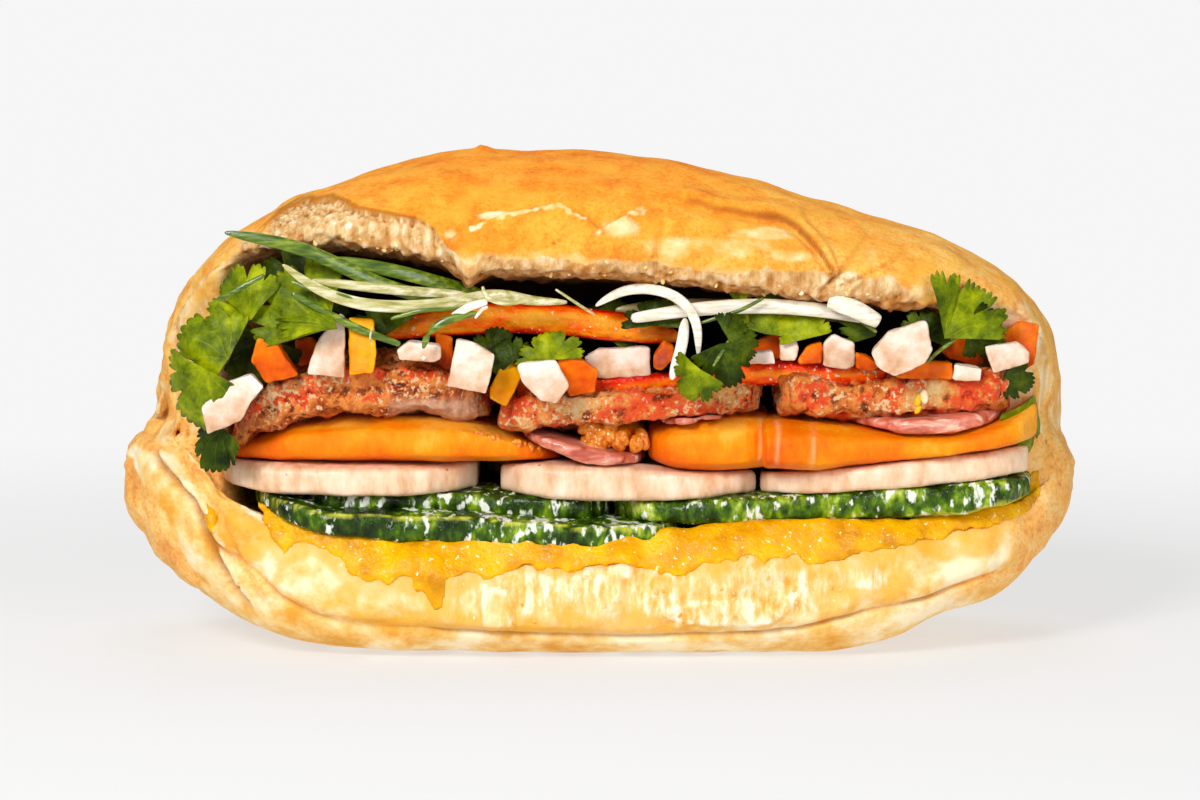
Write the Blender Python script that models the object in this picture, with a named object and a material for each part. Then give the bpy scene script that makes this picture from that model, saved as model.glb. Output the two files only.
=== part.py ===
"""Banh mi: a split bread roll, hinged along its back, with its fillings as separate solids.

The roll lies along X. It opens towards -Y, and its hinge is at +Y. It rests on the flat of its
base, at z = 0. Every length in this file is in millimetres until a mesh is made.
"""
import math

import bmesh
import bpy
import numpy as np
from mathutils import Matrix, Vector

MM = 0.001
GAP = 0.35                    # air between two pieces that lie against each other

# The roll
ROLL_LENGTH = 200.0
FRONT = -38.5                 # front of the roll at its middle
BACK = 41.5                   # back of the roll at its middle
CROWN_Y = -4.0                # the crown's ridge is a little in front of the middle
HINGE_HEIGHT = 44.0           # the crease along the back where the two halves fold
CAVITY_REACH = 95.0           # the cut ends this far from the middle on each side
WALL = 10.0                   # bread behind the cavity
ROLL_STATIONS = 40
SET_BACK = 2.7                # fillings stick out in front, so the roll sits back to centre the whole

# How much shorter the upper half is than the lower half, at the left and right tip, and how much
# the fold between them is pinched in
LEFT_TOP_SCALE = 0.92
RIGHT_TOP_SCALE = 0.97
FOLD_PINCH = 0.035

# The fillings
SLICE_STATIONS = 9
SLICE_SIDES = 10
CUBE_BEVEL = 0.8


def through(*points):
    """A smooth height curve z(x) through the points, which never swings past them."""
    xs = np.array([point[0] for point in points], float)
    zs = np.array([point[1] for point in points], float)
    steps = np.diff(zs) / np.diff(xs)
    before, after = steps[:-1], steps[1:]
    flat = before * after <= 0
    inner = np.where(flat, 0, 2 * before * after / np.where(flat, 1, before + after))
    slopes = np.concatenate([steps[:1], inner, steps[-1:]])

    def height(x):
        x = min(max(x, xs[0]), xs[-1])
        i = min(max(int(np.searchsorted(xs, x)) - 1, 0), len(xs) - 2)
        span = xs[i + 1] - xs[i]
        t = (x - xs[i]) / span
        rise = zs[i + 1] - zs[i]
        start, end = slopes[i] * span, slopes[i + 1] * span
        return float(zs[i] + t * start + t * t * (3 * rise - 2 * start - end)
                     + t ** 3 * (start + end - 2 * rise))

    return height


# The roll's four long edges, as heights along X
CROWN = through((-92, 60), (-89, 70), (-84, 78), (-75, 86.5), (-58, 95.3), (-25, 103.2), (0, 102.7),
                (25, 98.8), (50, 91.4), (67, 86.4), (84, 77.5), (93, 68), (97, 56))
UPPER_LIP = through((-92, 50), (-90, 60), (-86, 71), (-80, 78), (-73, 82.5), (-66, 84.5), (-52, 85.5),
                    (-34, 82.5), (-25, 80), (0, 79.5), (40, 75), (60, 73), (80, 71.5), (88, 68),
                    (93, 60), (97, 50.5))
LOWER_LIP = through((-100, 38), (-92, 43), (-84, 42.5), (-79, 36), (-71, 31), (-55, 25.5), (-41, 23),
                    (-16, 21.5), (4, 22.3), (16, 23.4), (27, 26.3), (61, 26.5), (77, 28.5), (88, 33),
                    (94, 37.5), (100, 36))
BASE = through((-100, 28), (-97, 23.5), (-91, 17), (-83, 11), (-71, 4.5), (-58, 1.2), (-48, 0), (0, 0),
               (45, 0), (58, 2), (67, 6), (83, 11), (91, 18), (97, 26), (100, 31))

# Where one layer ends and the next begins, as heights along X at the front
LEFT_FLOOR = through((-71, 31.2), (-55, 25.6), (-30, 23.5), (5, 23.3), (18, 26.0))
RIGHT_FLOOR = through((18, 24.1), (38, 24.6), (61, 24.9), (81, 28.3))
CUCUMBER_SPLIT = through((-71, 34.5), (-55, 30.6), (-30, 30.1), (3, 27.7), (18, 27.8), (40, 28.3),
                         (61, 28.5), (81, 30.7), (89, 32.6))
CUCUMBER_TOP = through((-79, 35.4), (-71, 33.9), (-50, 33.0), (-26, 33.2), (0, 32.3), (32, 33.0),
                       (61, 35.0), (90, 37.2))
PORK_ROLL_TOP = through((-79, 39.9), (-36, 39.4), (-8, 39.7), (8, 39.2), (20, 37.8), (43, 38.2),
                        (61, 40.3), (81, 42.5), (91, 44.6))
LEFT_TOMATO_TOP = through((-76, 41.2), (-69, 45.4), (-55, 49.2), (-34, 49.6), (-24, 47.8), (-8, 41.6))
RIGHT_TOMATO_TOP = through((10, 47.4), (34, 50.0), (53, 47.2), (69, 45.6), (81, 48.4), (90, 53.2))
MIDDLE_HAM_TOP = through((-17, 47.0), (-8, 45.0), (4, 42.3), (10, 40.9))
THIN_HAM_TOP = through((11, 49.0), (29, 50.9))
PORK_FLOOR = through((-75, 42.6), (-69, 46.4), (-57, 50.0), (-40, 50.4), (-23, 49.0), (-8, 47.3),
                     (4, 48.2), (12, 49.6), (30, 51.3), (38, 50.8), (47, 49.3), (60, 49.7), (83, 51.6))
PORK_TOP = through((-75, 46.0), (-69, 56.0), (-57, 58.7), (-41, 61.2), (-32, 59.3), (-23, 52.8),
                   (-19, 52.6), (-8, 53.6), (8, 54.6), (29, 55.8), (37, 56.4), (51, 57.0), (73, 56.8),
                   (83, 57.2))


def bezier(start, pull_start, pull_end, end, count):
    """Points of a cubic arc, with the start and without the end."""
    points = []
    for i in range(count):
        t = i / count
        a, b, c, d = (1 - t) ** 3, 3 * t * (1 - t) ** 2, 3 * t * t * (1 - t), t ** 3
        points.append(tuple(a * p + b * q + c * r + d * s
                            for p, q, r, s in zip(start, pull_start, pull_end, end)))
    return points


def smoothstep(low, high, value):
    t = min(max((value - low) / (high - low), 0.0), 1.0)
    return t * t * (3 - 2 * t)


def principled(name, color, roughness, metallic=0.0):
    material = bpy.data.materials.new(name)
    material.use_nodes = True
    shader = material.node_tree.nodes["Principled BSDF"]
    shader.inputs["Base Color"].default_value = (*color, 1.0)
    shader.inputs["Roughness"].default_value = roughness
    shader.inputs["Metallic"].default_value = metallic
    material.diffuse_color = (*color, 1.0)
    return material


def add_object(name, mesh, material):
    mesh.materials.append(material)
    mesh.shade_smooth()
    mesh.set_sharp_from_angle(angle=math.radians(40))
    piece = bpy.data.objects.new(name, mesh)
    piece.location.y = SET_BACK * MM
    bpy.context.scene.collection.objects.link(piece)
    return piece


def loft(name, rings, material):
    """One closed solid through rings with the same number of points, each end closed by a fan."""
    mesh = bmesh.new()
    loops = [[mesh.verts.new(Vector(point) * MM) for point in ring] for ring in rings]
    for near, far in zip(loops, loops[1:]):
        for i, corner in enumerate(near):
            j = (i + 1) % len(near)
            mesh.faces.new((corner, near[j], far[j], far[i]))
    for loop in (loops[0], loops[-1]):
        middle = mesh.verts.new(sum((vert.co for vert in loop), Vector()) / len(loop))
        for i, corner in enumerate(loop):
            mesh.faces.new((middle, corner, loop[(i + 1) % len(loop)]))
    bmesh.ops.triangulate(mesh, faces=mesh.faces, quad_method="SHORT_EDGE")
    bmesh.ops.recalc_face_normals(mesh, faces=mesh.faces)
    data = bpy.data.meshes.new(name)
    mesh.to_mesh(data)
    mesh.free()
    return add_object(name, data, material)


# ---------------------------------------------------------------- the bread

def roll_fullness(x):
    """How deep the roll is at x, as a share of its depth in the middle."""
    reach = min(abs(x) / (ROLL_LENGTH / 2), 1.0)
    return max((1 - reach ** 3.2) ** (1 / 2.4), 0.1)


def cavity_fullness(x):
    """How deep the cut goes at x, as a share of its depth in the middle."""
    reach = min(abs(x) / CAVITY_REACH, 1.0)
    return max((1 - reach ** 8) ** 0.5, 0.05)


def length_scale(x, z):
    """The upper half's tips stop short of the lower half's, and the fold between them is pinched."""
    scale = LEFT_TOP_SCALE if x < 0 else RIGHT_TOP_SCALE
    pinch = FOLD_PINCH * math.exp(-((z - HINGE_HEIGHT - 3) / 4) ** 2)
    return (1 - pinch) * (1 - (1 - scale) * smoothstep(HINGE_HEIGHT - 2, HINGE_HEIGHT + 5, z))


def roll_section(x):
    """The C of the opened roll at x: seven arcs, from the lower lip round the outside and back in."""
    full = roll_fullness(x)
    short = x * (LEFT_TOP_SCALE if x < 0 else RIGHT_TOP_SCALE)
    base, low, high, top = BASE(x), LOWER_LIP(x), UPPER_LIP(short), CROWN(short)
    hinge = HINGE_HEIGHT + 2.5 * (x / 100) ** 4
    front, back = FRONT * full, BACK * full
    low_lip = (front + 4.5 * full, low)
    base_front = (front + 16.5 * full, base)
    base_back = (back - 21.5 * full, base)
    crease = (back - 3.5 * full, hinge)
    crown = (CROWN_Y * full, top)
    high_lip = (front - 1.0 * full, high)
    depth = (back - WALL * full - high_lip[0]) * cavity_fullness(x)
    inner = (high_lip[0] + depth, hinge - 0.5)
    above, below = high - hinge, hinge - low
    points = bezier(low_lip, (front - 2.5 * full, low - 0.25 * (low - base)),
                    (front - 0.5 * full, base), base_front, 7)
    points += bezier(base_front, (base_front[0] + 8 * full, base), (base_back[0] - 8 * full, base),
                     base_back, 3)
    points += bezier(base_back, (back - 1.5 * full, base), (back + 3.5 * full, 0.55 * hinge + 0.45 * base),
                     crease, 6)
    points += bezier(crease, (back + 4.5 * full, hinge + 0.37 * (top - hinge)),
                     (back - 11.5 * full, top), crown, 7)
    points += bezier(crown, (front + 10.5 * full, top), (front - 8.5 * full, high + 0.5 * (top - high)),
                     high_lip, 5)
    points += bezier(high_lip, (high_lip[0] + 0.3 * depth, high - 0.05 * above),
                     (high_lip[0] + 0.92 * depth, hinge + 0.7 * above), inner, 5)
    points += bezier(inner, (inner[0] + 0.05 * depth, low - 0.62 * below),
                     (low_lip[0] + 0.03 * depth, low - 0.42 * below), low_lip, 6)
    return [(x * length_scale(x, z), y, z) for y, z in points]


def make_bread_roll(material):
    rings = []
    for i in range(ROLL_STATIONS + 1):
        t = 2 * i / ROLL_STATIONS - 1
        x = ROLL_LENGTH / 2 * (0.4 * t + 0.6 * math.sin(math.pi / 2 * t))
        rings.append(roll_section(x))
    return loft("bread_roll", rings, material)


# ---------------------------------------------------------------- sliced fillings

def make_slice(name, reach, depth, low, high, material, squareness=4.0, roundness=2.2, tip=0.3,
               end=0.85, wave=0.5, forward=0.0):
    """A slice lying flat: its outline from above is a rounded one, its faces follow low and high.

    reach is its span along X and depth its span along Y; squareness is its edge's and roundness is
    its outline's (2 is an ellipse, more is boxier); tip and end are how deep and how thick it still
    is at its ends; wave is how much its edge wanders; forward is how far its ends lean forward.
    """
    middle_x, half_x = sum(reach) / 2, (reach[1] - reach[0]) / 2
    middle_y, half_y = sum(depth) / 2, (depth[1] - depth[0]) / 2
    rings = []
    for i in range(SLICE_STATIONS):
        t = 2 * i / (SLICE_STATIONS - 1) - 1
        along = 0.35 * t + 0.65 * math.sin(math.pi / 2 * t)
        x = middle_x + half_x * along
        plan = max((1 - abs(along) ** roundness) ** (1 / roundness), tip)
        thick = max((1 - abs(along) ** 6) ** 0.5, end)
        z_low, z_high = low(x) + GAP / 2, high(x) - GAP / 2
        middle_z, half_z = (z_low + z_high) / 2, (z_high - z_low) / 2 * thick
        ring = []
        for side in range(SLICE_SIDES):
            angle = 2 * math.pi * (side + 0.5) / SLICE_SIDES
            across = math.copysign(abs(math.cos(angle)) ** (2 / squareness), math.cos(angle))
            up = math.copysign(abs(math.sin(angle)) ** (2 / squareness), math.sin(angle))
            wander = wave * math.sin(0.31 * x + 1.7 * middle_x) * abs(across)
            y = middle_y + (half_y * across - wander) * plan - forward * along ** 2
            ring.append((x, y, middle_z + half_z * up))
        rings.append(ring)
    return loft(name, rings, material)


def make_cucumber(material):
    skin = {"squareness": 3.6, "roundness": 4.0, "tip": 0.35, "end": 0.6, "forward": 6.0}
    make_slice("cucumber_left_low", (-71, 18), (-35.5, 16), LEFT_FLOOR, CUCUMBER_SPLIT, material, **skin)
    make_slice("cucumber_left_high", (-62, 2.2), (-30, 16), CUCUMBER_SPLIT, CUCUMBER_TOP, material, **skin)
    make_slice("cucumber_right_low", (18.8, 79), (-27.0, 15), RIGHT_FLOOR, CUCUMBER_SPLIT, material,
               **skin)
    make_slice("cucumber_right_high", (3, 89), (-32.5, 13), CUCUMBER_SPLIT, CUCUMBER_TOP, material, **skin)


def make_pork_roll(material):
    cut = {"squareness": 7.0, "roundness": 2.6, "tip": 0.3}
    make_slice("pork_roll_left", (-79, -25.3), (-34.5, 22), CUCUMBER_TOP, PORK_ROLL_TOP, material,
               forward=5.0, **cut)
    make_slice("pork_roll_middle_front", (-20.5, 32), (-34.5, -7), CUCUMBER_TOP, PORK_ROLL_TOP, material,
               **cut)
    make_slice("pork_roll_middle_back", (-24, 26), (-5.5, 24), CUCUMBER_TOP, PORK_ROLL_TOP, material,
               **cut)
    make_slice("pork_roll_right_front", (33, 88), (-34, -13), CUCUMBER_TOP, PORK_ROLL_TOP, material,
               **cut)
    make_slice("pork_roll_right_back", (32, 86.5), (-11.5, 14), CUCUMBER_TOP, PORK_ROLL_TOP, material,
               squareness=7.0, roundness=2.8, forward=3.0)


def make_tomato(material):
    core_top = through((-2, 47.0), (4, 47.9), (10, 47.2))
    make_slice("tomato_left", (-76, -8), (-36, 20), PORK_ROLL_TOP, LEFT_TOMATO_TOP, material,
               squareness=3.0, roundness=2.4, forward=5.0)
    make_slice("tomato_core", (-4, 9.6), (-30, 18), MIDDLE_HAM_TOP, core_top, material, squareness=2.6)
    make_slice("tomato_middle", (10, 33.8), (-36.5, 18), PORK_ROLL_TOP, RIGHT_TOMATO_TOP, material,
               squareness=3.6, roundness=4.0, tip=0.6)
    make_slice("tomato_right", (34.4, 89.5), (-36.5, 15), PORK_ROLL_TOP, RIGHT_TOMATO_TOP, material,
               squareness=3.6, roundness=2.6, tip=0.3, forward=10.0)


def make_ham(material):
    def wedge_floor(x):
        tomato_end = -7.8
        return max(PORK_ROLL_TOP(x), LEFT_TOMATO_TOP(x)) if x < tomato_end else PORK_ROLL_TOP(x)

    make_slice("ham_middle", (-17, 9.6), (-35.5, 18), wedge_floor, MIDDLE_HAM_TOP, material,
               roundness=3.0)
    make_slice("ham_thin", (11.5, 29), (-36, 10), RIGHT_TOMATO_TOP, THIN_HAM_TOP, material, roundness=3.0)
    make_slice("ham_right", (50, 84), (-36, 10), RIGHT_TOMATO_TOP, PORK_FLOOR, material, roundness=2.6)


def make_roast_pork(material):
    bark = {"squareness": 3.6, "roundness": 3.2, "tip": 0.45, "wave": 0.9, "forward": 3.0}
    make_slice("roast_pork_left", (-75, -22.6), (-36, 12), PORK_FLOOR, PORK_TOP, material, **bark)
    make_slice("roast_pork_middle", (-20, 32), (-35, 15), PORK_FLOOR, PORK_TOP, material, **bark)
    make_slice("roast_pork_right", (36.5, 83), (-35, 11), PORK_FLOOR, PORK_TOP, material, **bark)


# ---------------------------------------------------------------- pickle cubes

# Each: place of its middle; width, depth, height; lean to the right; turn about Z; narrowing
# upwards; and how far its top is pushed to the right
DAIKON = {
    "a": ((-74.2, -38.2, 53.8), (12.6, 8.0, 7.6), -33, 10, 0.9, 0.0),
    "c": ((-55.4, -37.0, 65.0), (7.8, 8.0, 13.0), 0, -6, 0.3, 2.4),
    "e": ((-36.4, -38.0, 64.1), (9.2, 7.0, 4.8), 3, 8, 0.9, 0.0),
    "g": ((-25.7, -41.0, 61.6), (8.6, 6.4, 9.6), 13, -8, 0.97, 0.0),
    "i": ((-10.8, -41.0, 58.2), (8.6, 6.6, 7.6), 26, 8, 0.9, 0.0),
    "k": ((3.8, -25.8, 61.2), (13.2, 7.4, 5.8), -2, 3, 0.94, 0.0),
    "m": ((32.0, -33.4, 62.8), (8.2, 5.4, 3.4), -3, 0, 0.9, 0.8),
    "n": ((38.5, -29.6, 64.6), (4.2, 6.0, 6.6), -4, 8, 0.7, -0.6),
    "p": ((48.6, -31.2, 63.8), (6.4, 6.8, 6.8), -2, -8, 0.86, 0.0),
    "r": ((59.8, -39.8, 64.6), (9.8, 7.0, 8.8), -22, 12, 0.78, 1.4),
    "t": ((75.0, -34.6, 59.5), (5.2, 6.0, 3.6), 4, 4, 0.95, 0.0),
    "v": ((82.9, -34.0, 62.8), (9.0, 6.0, 5.6), -7, -10, 0.86, 0.0),
}
CARROT = {
    "b": ((-65.4, -36.4, 62.4), (7.4, 7.6, 8.0), -28, 8, 0.8, -1.0),
    "b_back": ((-59.8, -27.0, 63.0), (5.0, 5.6, 5.6), -12, 16, 0.9, 0.0),
    "d": ((-47.9, -37.0, 65.6), (5.4, 7.6, 11.2), 0, 5, 0.94, 0.0),
    "f": ((-31.7, -31.2, 63.6), (4.2, 4.8, 7.0), 0, -5, 0.95, 0.0),
    "h": ((-19.2, -33.4, 58.0), (5.8, 5.4, 7.2), 28, 10, 0.86, 0.0),
    "h_back": ((-14.6, -26.6, 56.4), (5.4, 5.0, 4.0), 8, 6, 0.9, 0.0),
    "j": ((-4.4, -33.7, 58.4), (7.2, 5.2, 6.6), 12, -6, 0.94, 0.0),
    "l": ((13.2, -29.6, 62.4), (4.0, 5.6, 4.8), -10, 18, 0.6, 0.0),
    "m_back": ((31.9, -26.2, 64.0), (7.8, 5.4, 5.4), -4, 5, 0.4, 1.8),
    "o": ((43.2, -31.0, 63.0), (3.8, 5.6, 4.4), 0, 4, 0.5, 1.0),
    "q": ((55.0, -31.6, 61.3), (4.8, 5.6, 3.4), 4, 0, 0.9, 0.0),
    "s": ((66.2, -33.0, 59.7), (10.4, 6.0, 4.0), -3, 5, 0.86, 0.8),
    "u": ((74.4, -26.4, 64.2), (8.2, 6.2, 6.6), 12, -6, 0.45, 0.6),
    "w": ((85.6, -25.6, 62.8), (7.4, 6.6, 10.6), 10, 8, 0.86, 1.0),
}


def make_cube(name, place, size, lean, turn, narrowing, push, material):
    mesh = bmesh.new()
    bmesh.ops.create_cube(mesh, size=1.0)
    for vert in mesh.verts:
        shrink, shift = (narrowing, push) if vert.co.z > 0 else (1.0, 0.0)
        vert.co = Vector((vert.co.x * size[0] * shrink + shift, vert.co.y * size[1], vert.co.z * size[2]))
    bmesh.ops.bevel(mesh, geom=mesh.edges[:], offset=CUBE_BEVEL, segments=1, affect="EDGES")
    bmesh.ops.triangulate(mesh, faces=mesh.faces)
    tilt = Matrix.Rotation(math.radians(turn), 4, "Z") @ Matrix.Rotation(math.radians(lean), 4, "Y")
    bmesh.ops.transform(mesh, matrix=Matrix.Scale(MM, 4) @ Matrix.Translation(place) @ tilt,
                        verts=mesh.verts)
    data = bpy.data.meshes.new(name)
    mesh.to_mesh(data)
    mesh.free()
    return add_object(name, data, material)


def make_pickles(daikon, carrot):
    for kind, cubes, material in (("daikon", DAIKON, daikon), ("carrot", CARROT, carrot)):
        for letter, shape in cubes.items():
            make_cube(f"{kind}_{letter}", *shape, material)


# ---------------------------------------------------------------- strips of pepper and spring onion

def along_path(points, count):
    """Evenly spaced places on a smooth curve through the points, with the direction at each."""
    points = [Vector(point) for point in points]
    padded = [2 * points[0] - points[1], *points, 2 * points[-1] - points[-2]]
    fine = []
    for a, b, c, d in zip(padded, padded[1:], padded[2:], padded[3:]):
        for i in range(20):
            t = i / 20
            fine.append(0.5 * (2 * b + (c - a) * t + (2 * a - 5 * b + 4 * c - d) * t * t
                               + (3 * b - a - 3 * c + d) * t ** 3))
    fine.append(points[-1])
    lengths = np.concatenate([[0], np.cumsum([(q - p).length for p, q in zip(fine, fine[1:])])])
    even = np.linspace(0, lengths[-1], count)
    places = [Vector([np.interp(s, lengths, [p[axis] for p in fine]) for axis in range(3)])
              for s in even]
    ends = [places[0], *places, places[-1]]
    return [(place, (after - before).normalized()) for before, place, after in zip(ends, places, ends[2:])]


def make_strip(name, points, height, thickness, material, tip=0.35, stations=9, sides=8, lean=0.0):
    """A flat strip along a path: height is its breadth seen from the front, lean tips it back."""
    rings = []
    for i, (place, forward) in enumerate(along_path(points, stations)):
        t = 2 * i / (stations - 1) - 1
        size = max((1 - abs(t) ** 4) ** 0.5, tip)
        up = Matrix.Rotation(math.radians(lean), 3, forward) @ Vector((0, 0.15, 1))
        if abs(forward.z) > 0.75:
            up = Vector((1, 0, 0))
        up = (up - forward * up.dot(forward)).normalized()
        across = forward.cross(up)
        rings.append([place + up * (height / 2 * size * math.cos(2 * math.pi * side / sides))
                      + across * (thickness / 2 * size * math.sin(2 * math.pi * side / sides))
                      for side in range(sides)])
    return loft(name, rings, material)


def make_pepper(material):
    make_strip("pepper_top", [(-44, -26, 66.6), (-30, -26, 69.2), (-14, -26, 69.6), (2, -26, 68.0),
                              (16, -25, 65.8)], 6.0, 3.8, material, stations=11)
    make_strip("pepper_right", [(21, -29.5, 58.9), (33, -29, 58.6), (46, -29, 58.6), (58, -28.5, 58.4)],
               3.4, 3.0, material)
    make_strip("pepper_low", [(-3, -28, 56.0), (8, -28, 56.5), (19, -28, 57.4)], 2.4, 3.0, material,
               stations=7)
    make_strip("pepper_under", [(22, -23, 58.4), (34, -23, 58.8), (46, -23, 59.0)], 2.6, 2.6, material,
               stations=7)
    make_strip("pepper_end", [(62, -22, 65.4), (67, -21.5, 66.6), (72, -21, 65.8)], 4.4, 3.0, material,
               stations=6)


def make_spring_onion(green, pale):
    thin = {"stations": 11, "sides": 6}
    make_strip("onion_green_long", [(-75.3, -42, 88.2), (-60, -42, 85), (-45, -39, 77.9),
                                    (-33, -35, 74.0), (-24.5, -31.5, 72.2)], 3.4, 1.3, green, **thin)
    make_strip("onion_green_short", [(-54.5, -38.5, 82.6), (-41, -37.5, 80.0), (-31, -34, 77.0),
                                     (-24, -28.4, 75.2)], 3.4, 1.2, green, **thin)
    make_strip("onion_pale_strip", [(-58, -43, 78.6), (-41, -42, 76.6), (-26.5, -38, 75.4)], 2.4, 1.0,
               pale, **thin)
    make_strip("onion_cream_strip", [(-63.5, -44.5, 82.0), (-57, -44.5, 77.2), (-49, -44.5, 74.2),
                                     (-40, -44, 73.4), (-30, -43, 74.0), (-21, -40, 75.6),
                                     (-14, -37, 74.0), (-6.5, -35, 73.6)], 3.0, 1.0, pale,
               stations=15, sides=6)
    make_strip("onion_green_curl", [(-24.5, -45.5, 72.4), (-30, -46, 71.0), (-34, -46, 68.6),
                                    (-35.4, -44.5, 65.0)], 2.0, 1.0, green, **thin)
    make_strip("onion_ring", [(-1, -33, 72.6), (4, -34, 75.6), (10, -36, 76.4), (16, -38.5, 74.6),
                              (19.4, -40, 70.0), (19.8, -40.5, 63.4)], 2.6, 1.0, pale, **thin)
    make_strip("onion_blade", [(17.2, -37.5, 70.6), (16.4, -39, 65), (14.4, -41, 58.4)], 2.8, 1.0, pale,
               **thin)
    make_strip("onion_stalk", [(3, -25, 71.2), (20, -24, 71.8), (40, -24, 71.2), (57, -24.5, 68.8)], 4.2,
               3.4, pale, **thin)


def main():
    for piece in list(bpy.data.objects):
        bpy.data.objects.remove(piece, do_unlink=True)
    make_bread_roll(principled("bread_crust", (0.78, 0.45, 0.16), 0.62))
    make_cucumber(principled("cucumber_skin", (0.05, 0.14, 0.03), 0.25))
    make_pork_roll(principled("steamed_pork_roll", (0.80, 0.62, 0.47), 0.5))
    make_tomato(principled("tomato_flesh", (0.83, 0.27, 0.03), 0.3))
    make_ham(principled("ham_slice", (0.80, 0.48, 0.42), 0.35))
    make_roast_pork(principled("roast_pork_bark", (0.42, 0.11, 0.05), 0.45))
    make_pickles(principled("pickled_daikon", (0.85, 0.80, 0.74), 0.3),
                 principled("pickled_carrot", (0.90, 0.28, 0.02), 0.32))
    make_pepper(principled("red_pepper", (0.72, 0.07, 0.01), 0.2))
    make_spring_onion(principled("spring_onion_leaf", (0.12, 0.26, 0.05), 0.35),
                      principled("spring_onion_stem", (0.74, 0.78, 0.56), 0.35))


main()
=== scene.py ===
# %% [markdown]
# # A banh mi, dressed for its portrait
#
# A short crusty roll is split along one side and filled so full that it stands open. The solid
# model already fixes where every piece lies, so this lesson takes each plain solid and gives it
# the surface that the real food has: baked crust and torn crumb, wet cucumber skin, rough pork
# bark, glassy pickles. What is too small for the solid model, such as herbs, seeds, sauce and
# crumbs, is made here from nothing.
#
# Everything is in metres in the file, but a cook thinks in millimetres, so the helpers take
# millimetres.

# %% The frame
import math
import random

import bpy
import numpy as np
from mathutils import Euler, Matrix, Vector, noise


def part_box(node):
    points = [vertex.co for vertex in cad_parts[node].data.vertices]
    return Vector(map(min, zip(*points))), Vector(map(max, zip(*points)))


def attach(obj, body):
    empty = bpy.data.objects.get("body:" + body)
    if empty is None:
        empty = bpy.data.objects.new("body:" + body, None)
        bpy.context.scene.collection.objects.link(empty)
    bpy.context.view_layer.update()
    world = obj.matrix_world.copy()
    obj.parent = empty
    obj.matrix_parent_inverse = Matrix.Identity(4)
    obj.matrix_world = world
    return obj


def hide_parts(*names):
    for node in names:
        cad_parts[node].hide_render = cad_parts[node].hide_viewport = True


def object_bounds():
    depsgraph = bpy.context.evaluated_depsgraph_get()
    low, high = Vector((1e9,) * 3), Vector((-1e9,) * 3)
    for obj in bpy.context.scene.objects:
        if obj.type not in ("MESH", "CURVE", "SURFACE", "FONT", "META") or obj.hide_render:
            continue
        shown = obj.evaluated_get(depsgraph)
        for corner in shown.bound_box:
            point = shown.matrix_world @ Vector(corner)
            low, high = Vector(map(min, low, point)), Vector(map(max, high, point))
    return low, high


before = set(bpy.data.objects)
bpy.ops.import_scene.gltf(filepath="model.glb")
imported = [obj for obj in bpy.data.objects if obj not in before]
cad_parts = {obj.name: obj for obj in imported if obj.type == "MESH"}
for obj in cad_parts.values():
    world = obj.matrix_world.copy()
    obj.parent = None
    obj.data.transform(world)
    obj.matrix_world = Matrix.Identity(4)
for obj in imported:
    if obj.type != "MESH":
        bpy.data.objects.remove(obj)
cad_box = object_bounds()
MM = 0.001
print("solids:", len(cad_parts), "box in mm:", [[round(v / MM, 1) for v in c] for c in cad_box])

# %% [markdown]
# ## Helpers for the mesh
#
# A solid arrives as loose triangles, so a copy of it is merged before anything else. A few small
# helpers do what a hand on the mouse would do: make one piece the active one, apply a modifier to
# it, use a tool on it in edit mode, and read or write the places of its points.

# %% Helpers for the mesh
def only(piece):
    """Makes the piece the one that is selected and active."""
    bpy.ops.object.select_all(action="DESELECT")
    piece.select_set(True)
    bpy.context.view_layer.objects.active = piece
    return piece


def apply(piece, kind, **settings):
    """Adds a modifier with its settings and applies it at once."""
    only(piece)
    modifier = piece.modifiers.new(kind, kind)
    for name, value in settings.items():
        setattr(modifier, name, value)
    bpy.ops.object.modifier_apply(modifier=modifier.name)
    return piece


def edit(piece, tool, chosen=None, **settings):
    """Uses an edit-mode tool on the whole piece, or on its chosen points and what lies between them."""
    mesh = only(piece).data
    bpy.ops.object.mode_set(mode="EDIT")
    bpy.ops.mesh.select_all(action="SELECT" if chosen is None else "DESELECT")
    if chosen is not None:
        bpy.ops.object.mode_set(mode="OBJECT")
        mesh.vertices.foreach_set("select", chosen)
        for parts in (mesh.edges, mesh.polygons):
            parts.foreach_set("select", [all(chosen[v] for v in part.vertices) for part in parts])
        bpy.ops.object.mode_set(mode="EDIT")
    tool(**settings)
    bpy.ops.object.mode_set(mode="OBJECT")
    return piece


def copy_of(node, name):
    """A merged copy of a solid, as a new piece."""
    piece = bpy.data.objects.new(name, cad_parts[node].data.copy())
    bpy.context.scene.collection.objects.link(piece)
    only(piece)
    bpy.ops.mesh.customdata_custom_splitnormals_clear()
    edit(piece, bpy.ops.mesh.remove_doubles, threshold=0.02 * MM)
    piece.data.materials.clear()
    return piece


def places(piece):
    """Where the points are, in millimetres, one row for each."""
    flat = np.empty(len(piece.data.vertices) * 3)
    piece.data.vertices.foreach_get("co", flat)
    return flat.reshape(-1, 3) / MM


def facing(piece):
    """Which way the surface looks at each point."""
    flat = np.empty(len(piece.data.vertices) * 3, dtype=np.float32)
    piece.data.vertex_normals.foreach_get("vector", flat)
    return flat.reshape(-1, 3).astype(float)


def move_to(piece, points):
    """Puts the points at new places, given in millimetres."""
    piece.data.vertices.foreach_set("co", (points * MM).ravel())
    piece.data.update()


def grain(points, size, seed=0):
    """Smooth noise, about -1 to 1, at each point. Its lumps are size mm, one number or three."""
    scaled = points / np.array(size, float) + 31.7 * seed
    return np.array([noise.noise(Vector(row)) for row in scaled])


def step(low, high, value):
    """0 below low, 1 above high, and a smooth rise between them."""
    t = np.clip((value - low) / (high - low), 0, 1)
    return t * t * (3 - 2 * t)


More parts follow.
